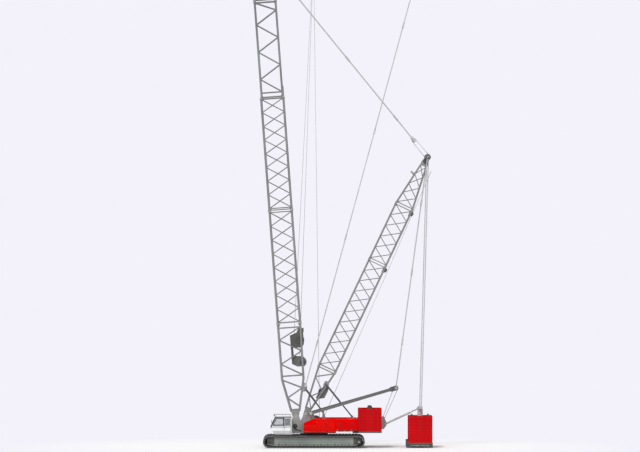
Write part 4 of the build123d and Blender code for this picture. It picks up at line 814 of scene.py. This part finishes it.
# Lattice sections: joint pins with clips, gussets at the ends and caps on the hinge pins
SECTIONS = (
    # pivot, angle, body, pin radius, joints as place along it, chord x and chord y
    (BOOM_PIVOT, BOOM_ANGLE, "boom", 8,
     ((1000, 118, 128), (2200, 118, 128), (3400, 118, 128), (4430, 111, 124))),
    (MAST_PIVOT, MAST_ANGLE, "mast", 6, ((530, 94.5, 100), (1780, 94.5, 100), (2440, 94.5, 100))),
    (JIB_PIVOT, JIB_ANGLE, "jib", 6, ((560, 75, 84), (1820, 75, 84))),
)
for pivot, angle, body, r, joints in SECTIONS:
    with piece("joint_pins_" + body, STEEL, body) as bm:
        for z, cx, cy in joints:
            for sx in SIDES:
                for sy in SIDES:
                    inner = local(pivot, angle, sx * cx, sy * (cy - r * 1.9), z)
                    outer = local(pivot, angle, sx * cx, sy * (cy + r * 1.9), z)
                    add_rod(bm, inner, outer, r * 0.0007, 12)
                    clip = local(pivot, angle, sx * cx, sy * (cy + r * 1.75), z - r)
                    clip_end = local(pivot, angle, sx * cx, sy * (cy + r * 1.75), z + r)
                    add_rod(bm, clip, clip_end, 0.0012, 6)
    with piece("gussets_" + body, LATTICE, body) as bm:
        for z, cx, cy in joints:
            for sx in SIDES:
                for sy in SIDES:
                    for dz in (-30, 30):
                        corners = [local(pivot, angle, sx * x, sy * cy, z + dz * share)
                                   for x, share in ((cx - 3, 0.25), (cx - 3, 1.4), (cx - r * 3.4, 0.4))]
                        half = Vector((0, 0.003, 0))
                        plate(bm, [p - half for p in corners], [p + half for p in corners])


def caps(name, body, table):
    """Round caps with a hexagon on the ends of hinge pins: point (x, z), y and radius of each."""
    with piece(name, STEEL, body) as bm:
        for (x, z), y, radius in table:
            for out in SIDES:
                a, b = Vector((x, out * y, z)), Vector((x, out * (y + 0.003), z))
                add_rod(bm, a, b, radius, 20)
                add_rod(bm, b, b + Vector((0, out * 0.0012, 0)), radius * 0.6, 6)


caps("upper_caps", "upper", (
    (BOOM_PIVOT, 0.1520, 0.011), (MAST_PIVOT, 0.1200, 0.011), (GANTRY_PIVOT, 0.2135, 0.011),
    ((0.755, 0.244), 0.026, 0.007),
))
caps("boom_caps", "boom", ((STAY_TOP, 0.129, 0.008), (JIB_PIVOT, 0.109, 0.008), (HEAD, 0.109, 0.008),
                           (REAR_TIP, 0.072, 0.008)))
with piece("mast_end_covers", DARK, "mast") as bm:
    for out in SIDES:
        a = Vector((MAST_TIP[0], out * 0.1141, MAST_TIP[1]))
        add_rod(bm, a, a + Vector((0, out * 0.0020, 0)), 0.021, 32)
        add_rod(bm, a, a + Vector((0, out * 0.0035, 0)), 0.017, 32)
        cheek = ((-25, -62), (-25, 15), (-13, 25), (13, 25), (25, 15), (25, -62))
        plate(bm, *([local(MAST_PIVOT, MAST_ANGLE, x, out * y, MAST_TOP * 1000 + z) for x, z in cheek]
                    for y in (76.2, 78.0)))
    bmesh.ops.recalc_face_normals(bm, faces=bm.faces)
caps("mast_caps", "mast", ((MAST_TIP, 0.1176, 0.009),))
caps("jib_caps", "jib", ((FRONT_TIP, 0.072, 0.008), (JIB_TIP, 0.057, 0.008)))
caps("gantry_caps", "gantry", ((GANTRY_TIP, 0.100, 0.008),))
caps("hook_caps", "hook", ((hook_wheel, 0.038, 0.010),))

# Turnbuckles and clamps on the guys
GUYS = (
    # body, end a (x, z), end b, y at a, y at b, places along it
    ("boom_stay", STAY_TOP, MAST_TIP, 0.119, 0.119, (0.18, 0.5, 0.8)),
    ("mast", MAST_TIP, GANTRY_TIP, 0.104, 0.090, (0.2, 0.5, 0.8)),
    ("jib", FRONT_TIP, along(JIB_PIVOT, JIB_ANGLE, 2.386, 0.024), 0.0595, 0.0635, (0.25, 0.6)),
    ("boom", REAR_TIP, along(BOOM_PIVOT, BOOM_ANGLE, 0.327, 0.126), 0.0595, 0.1415, (0.15, 0.4, 0.65, 0.9)),
)
for body, a, b, ya, yb, places in GUYS:
    with piece("guy_joints_" + body, GUY, body) as bm:
        for share in places:
            for out in SIDES:
                start, end = Vector((a[0], out * ya, a[1])), Vector((b[0], out * yb, b[1]))
                way = (end - start).normalized()
                mid = start + (end - start) * share
                add_rod(bm, mid - way * 0.034, mid + way * 0.034, 0.0085, 12)
                for s in SIDES:
                    p = mid + way * 0.022 * s
                    add_rod(bm, p + Vector((0, -0.011, 0)), p + Vector((0, 0.011, 0)), 0.004, 10)

# Hook: swivel nut, latch, side plate bolts and stripes
hx, hz = JIB_TIP[0] * 1000, HOOK_Z * 1000
with piece("hook_latch", STEEL, "hook") as bm:
    add_rod(bm, mm(hx, 0, hz - 88), mm(hx, 0, hz - 98), 0.014, 20)
    for y in (-6, 6):
        add_path(bm, [mm(hx + 3, y, hz - 112), mm(hx - 24, y, hz - 146)], 0.0016, 6)
    add_rod(bm, mm(hx - 24, -7, hz - 146), mm(hx - 24, 7, hz - 146), 0.0018, 8)
    for out in SIDES:
        for dx, dz in ((-24, -22), (24, -22), (-14, 26), (14, 26), (0, -74)):
            add_bolt(bm, mm(hx + dx, out * 38, hz + dz), (0, out, 0), 0.003, 0.0025)
with piece("hook_stripes", DARK, "hook") as bm:
    for out in SIDES:
        y = out * 38.2
        for k in range(3):
            x = hx - 20 + k * 14
            v = [bm.verts.new(mm(x + dx, y, hz + dz))
                 for dx, dz in ((0, -34), (6, -34), (16, -16), (10, -16))]
            bm.faces.new(v if out < 0 else v[::-1])

# Camera, world, lights and floor
CENTRE = (0.0648, 2.347)
LENS, SENSOR, WIDTH = 400, 36, 6.7968
cam_data = bpy.data.cameras.new("camera")
cam_data.lens = LENS
cam_data.sensor_width = SENSOR
cam_data.clip_end = 400
cam = bpy.data.objects.new("camera", cam_data)
cam.location = (CENTRE[0], -LENS * WIDTH / SENSOR, CENTRE[1])
cam.rotation_euler = (math.pi / 2, 0, 0)
bpy.context.scene.collection.objects.link(cam)
bpy.context.scene.camera = cam

BACK = (0.896, 0.887, 0.956)
world = bpy.data.worlds.new("world")
bpy.context.scene.world = world
bpy.context.scene.view_settings.view_transform = "Standard"
world.use_nodes = True
wn, wl = world.node_tree.nodes, world.node_tree.links
wn.clear()
wout = wn.new("ShaderNodeOutputWorld")
seen = wn.new("ShaderNodeBackground")
seen.inputs[0].default_value = BACK + (1,)
seen.inputs[1].default_value = 1.0
fill = wn.new("ShaderNodeBackground")
fill.inputs[0].default_value = (1.0, 0.99, 0.98, 1)
fill.inputs[1].default_value = 0.62
path = wn.new("ShaderNodeLightPath")
any_ray = path.outputs["Is Camera Ray"]
for ray in ("Is Glossy Ray", "Is Transmission Ray"):
    either = wn.new("ShaderNodeMath")
    either.operation = "MAXIMUM"
    wl.new(any_ray, either.inputs[0])
    wl.new(path.outputs[ray], either.inputs[1])
    any_ray = either.outputs[0]
wmix = wn.new("ShaderNodeMixShader")
wl.new(any_ray, wmix.inputs[0])
wl.new(fill.outputs[0], wmix.inputs[1])
wl.new(seen.outputs[0], wmix.inputs[2])
wl.new(wmix.outputs[0], wout.inputs[0])


def sun(name, energy, angle, direction):
    """Sun lamp of an angular size in degrees, shining along a direction."""
    data = bpy.data.lights.new(name, "SUN")
    data.energy = energy
    data.angle = math.radians(angle)
    obj = bpy.data.objects.new(name, data)
    obj.rotation_euler = Vector(direction).to_track_quat("-Z", "Y").to_euler()
    bpy.context.scene.collection.objects.link(obj)


sun("key", 1.9, 12, (0.35, 0.75, -1.0))
sun("front", 0.75, 30, (-0.3, 1.0, -0.25))

floor_mat = bpy.data.materials.new("floor")
floor_mat.use_nodes = True
n, l = floor_mat.node_tree.nodes, floor_mat.node_tree.links
b = n["Principled BSDF"]
b.inputs["Base Color"].default_value = (0.86, 0.86, 0.87, 1)
b.inputs["Roughness"].default_value = 0.95
b.inputs["Specular IOR Level"].default_value = 0.1
glow = n.new("ShaderNodeEmission")
glow.inputs[0].default_value = BACK + (1,)
glow.inputs[1].default_value = 1.0
place = n.new("ShaderNodeTexCoord").outputs["Object"]
far = n.new("ShaderNodeVectorMath")
far.operation = "LENGTH"
l.new(place, far.inputs[0])
fade = n.new("ShaderNodeMapRange")
fade.inputs["From Min"].default_value = 1.6
fade.inputs["From Max"].default_value = 3.4
l.new(far.outputs["Value"], fade.inputs["Value"])
ground = n.new("ShaderNodeMixShader")
l.new(fade.outputs[0], ground.inputs[0])
l.new(b.outputs[0], ground.inputs[1])
l.new(glow.outputs[0], ground.inputs[2])
l.new(ground.outputs[0], n["Material Output"].inputs[0])
bm = bmesh.new()
bmesh.ops.create_circle(bm, cap_ends=True, radius=60, segments=96)
floor = make("floor", bm, floor_mat, None)
floor.location.z = -0.0005
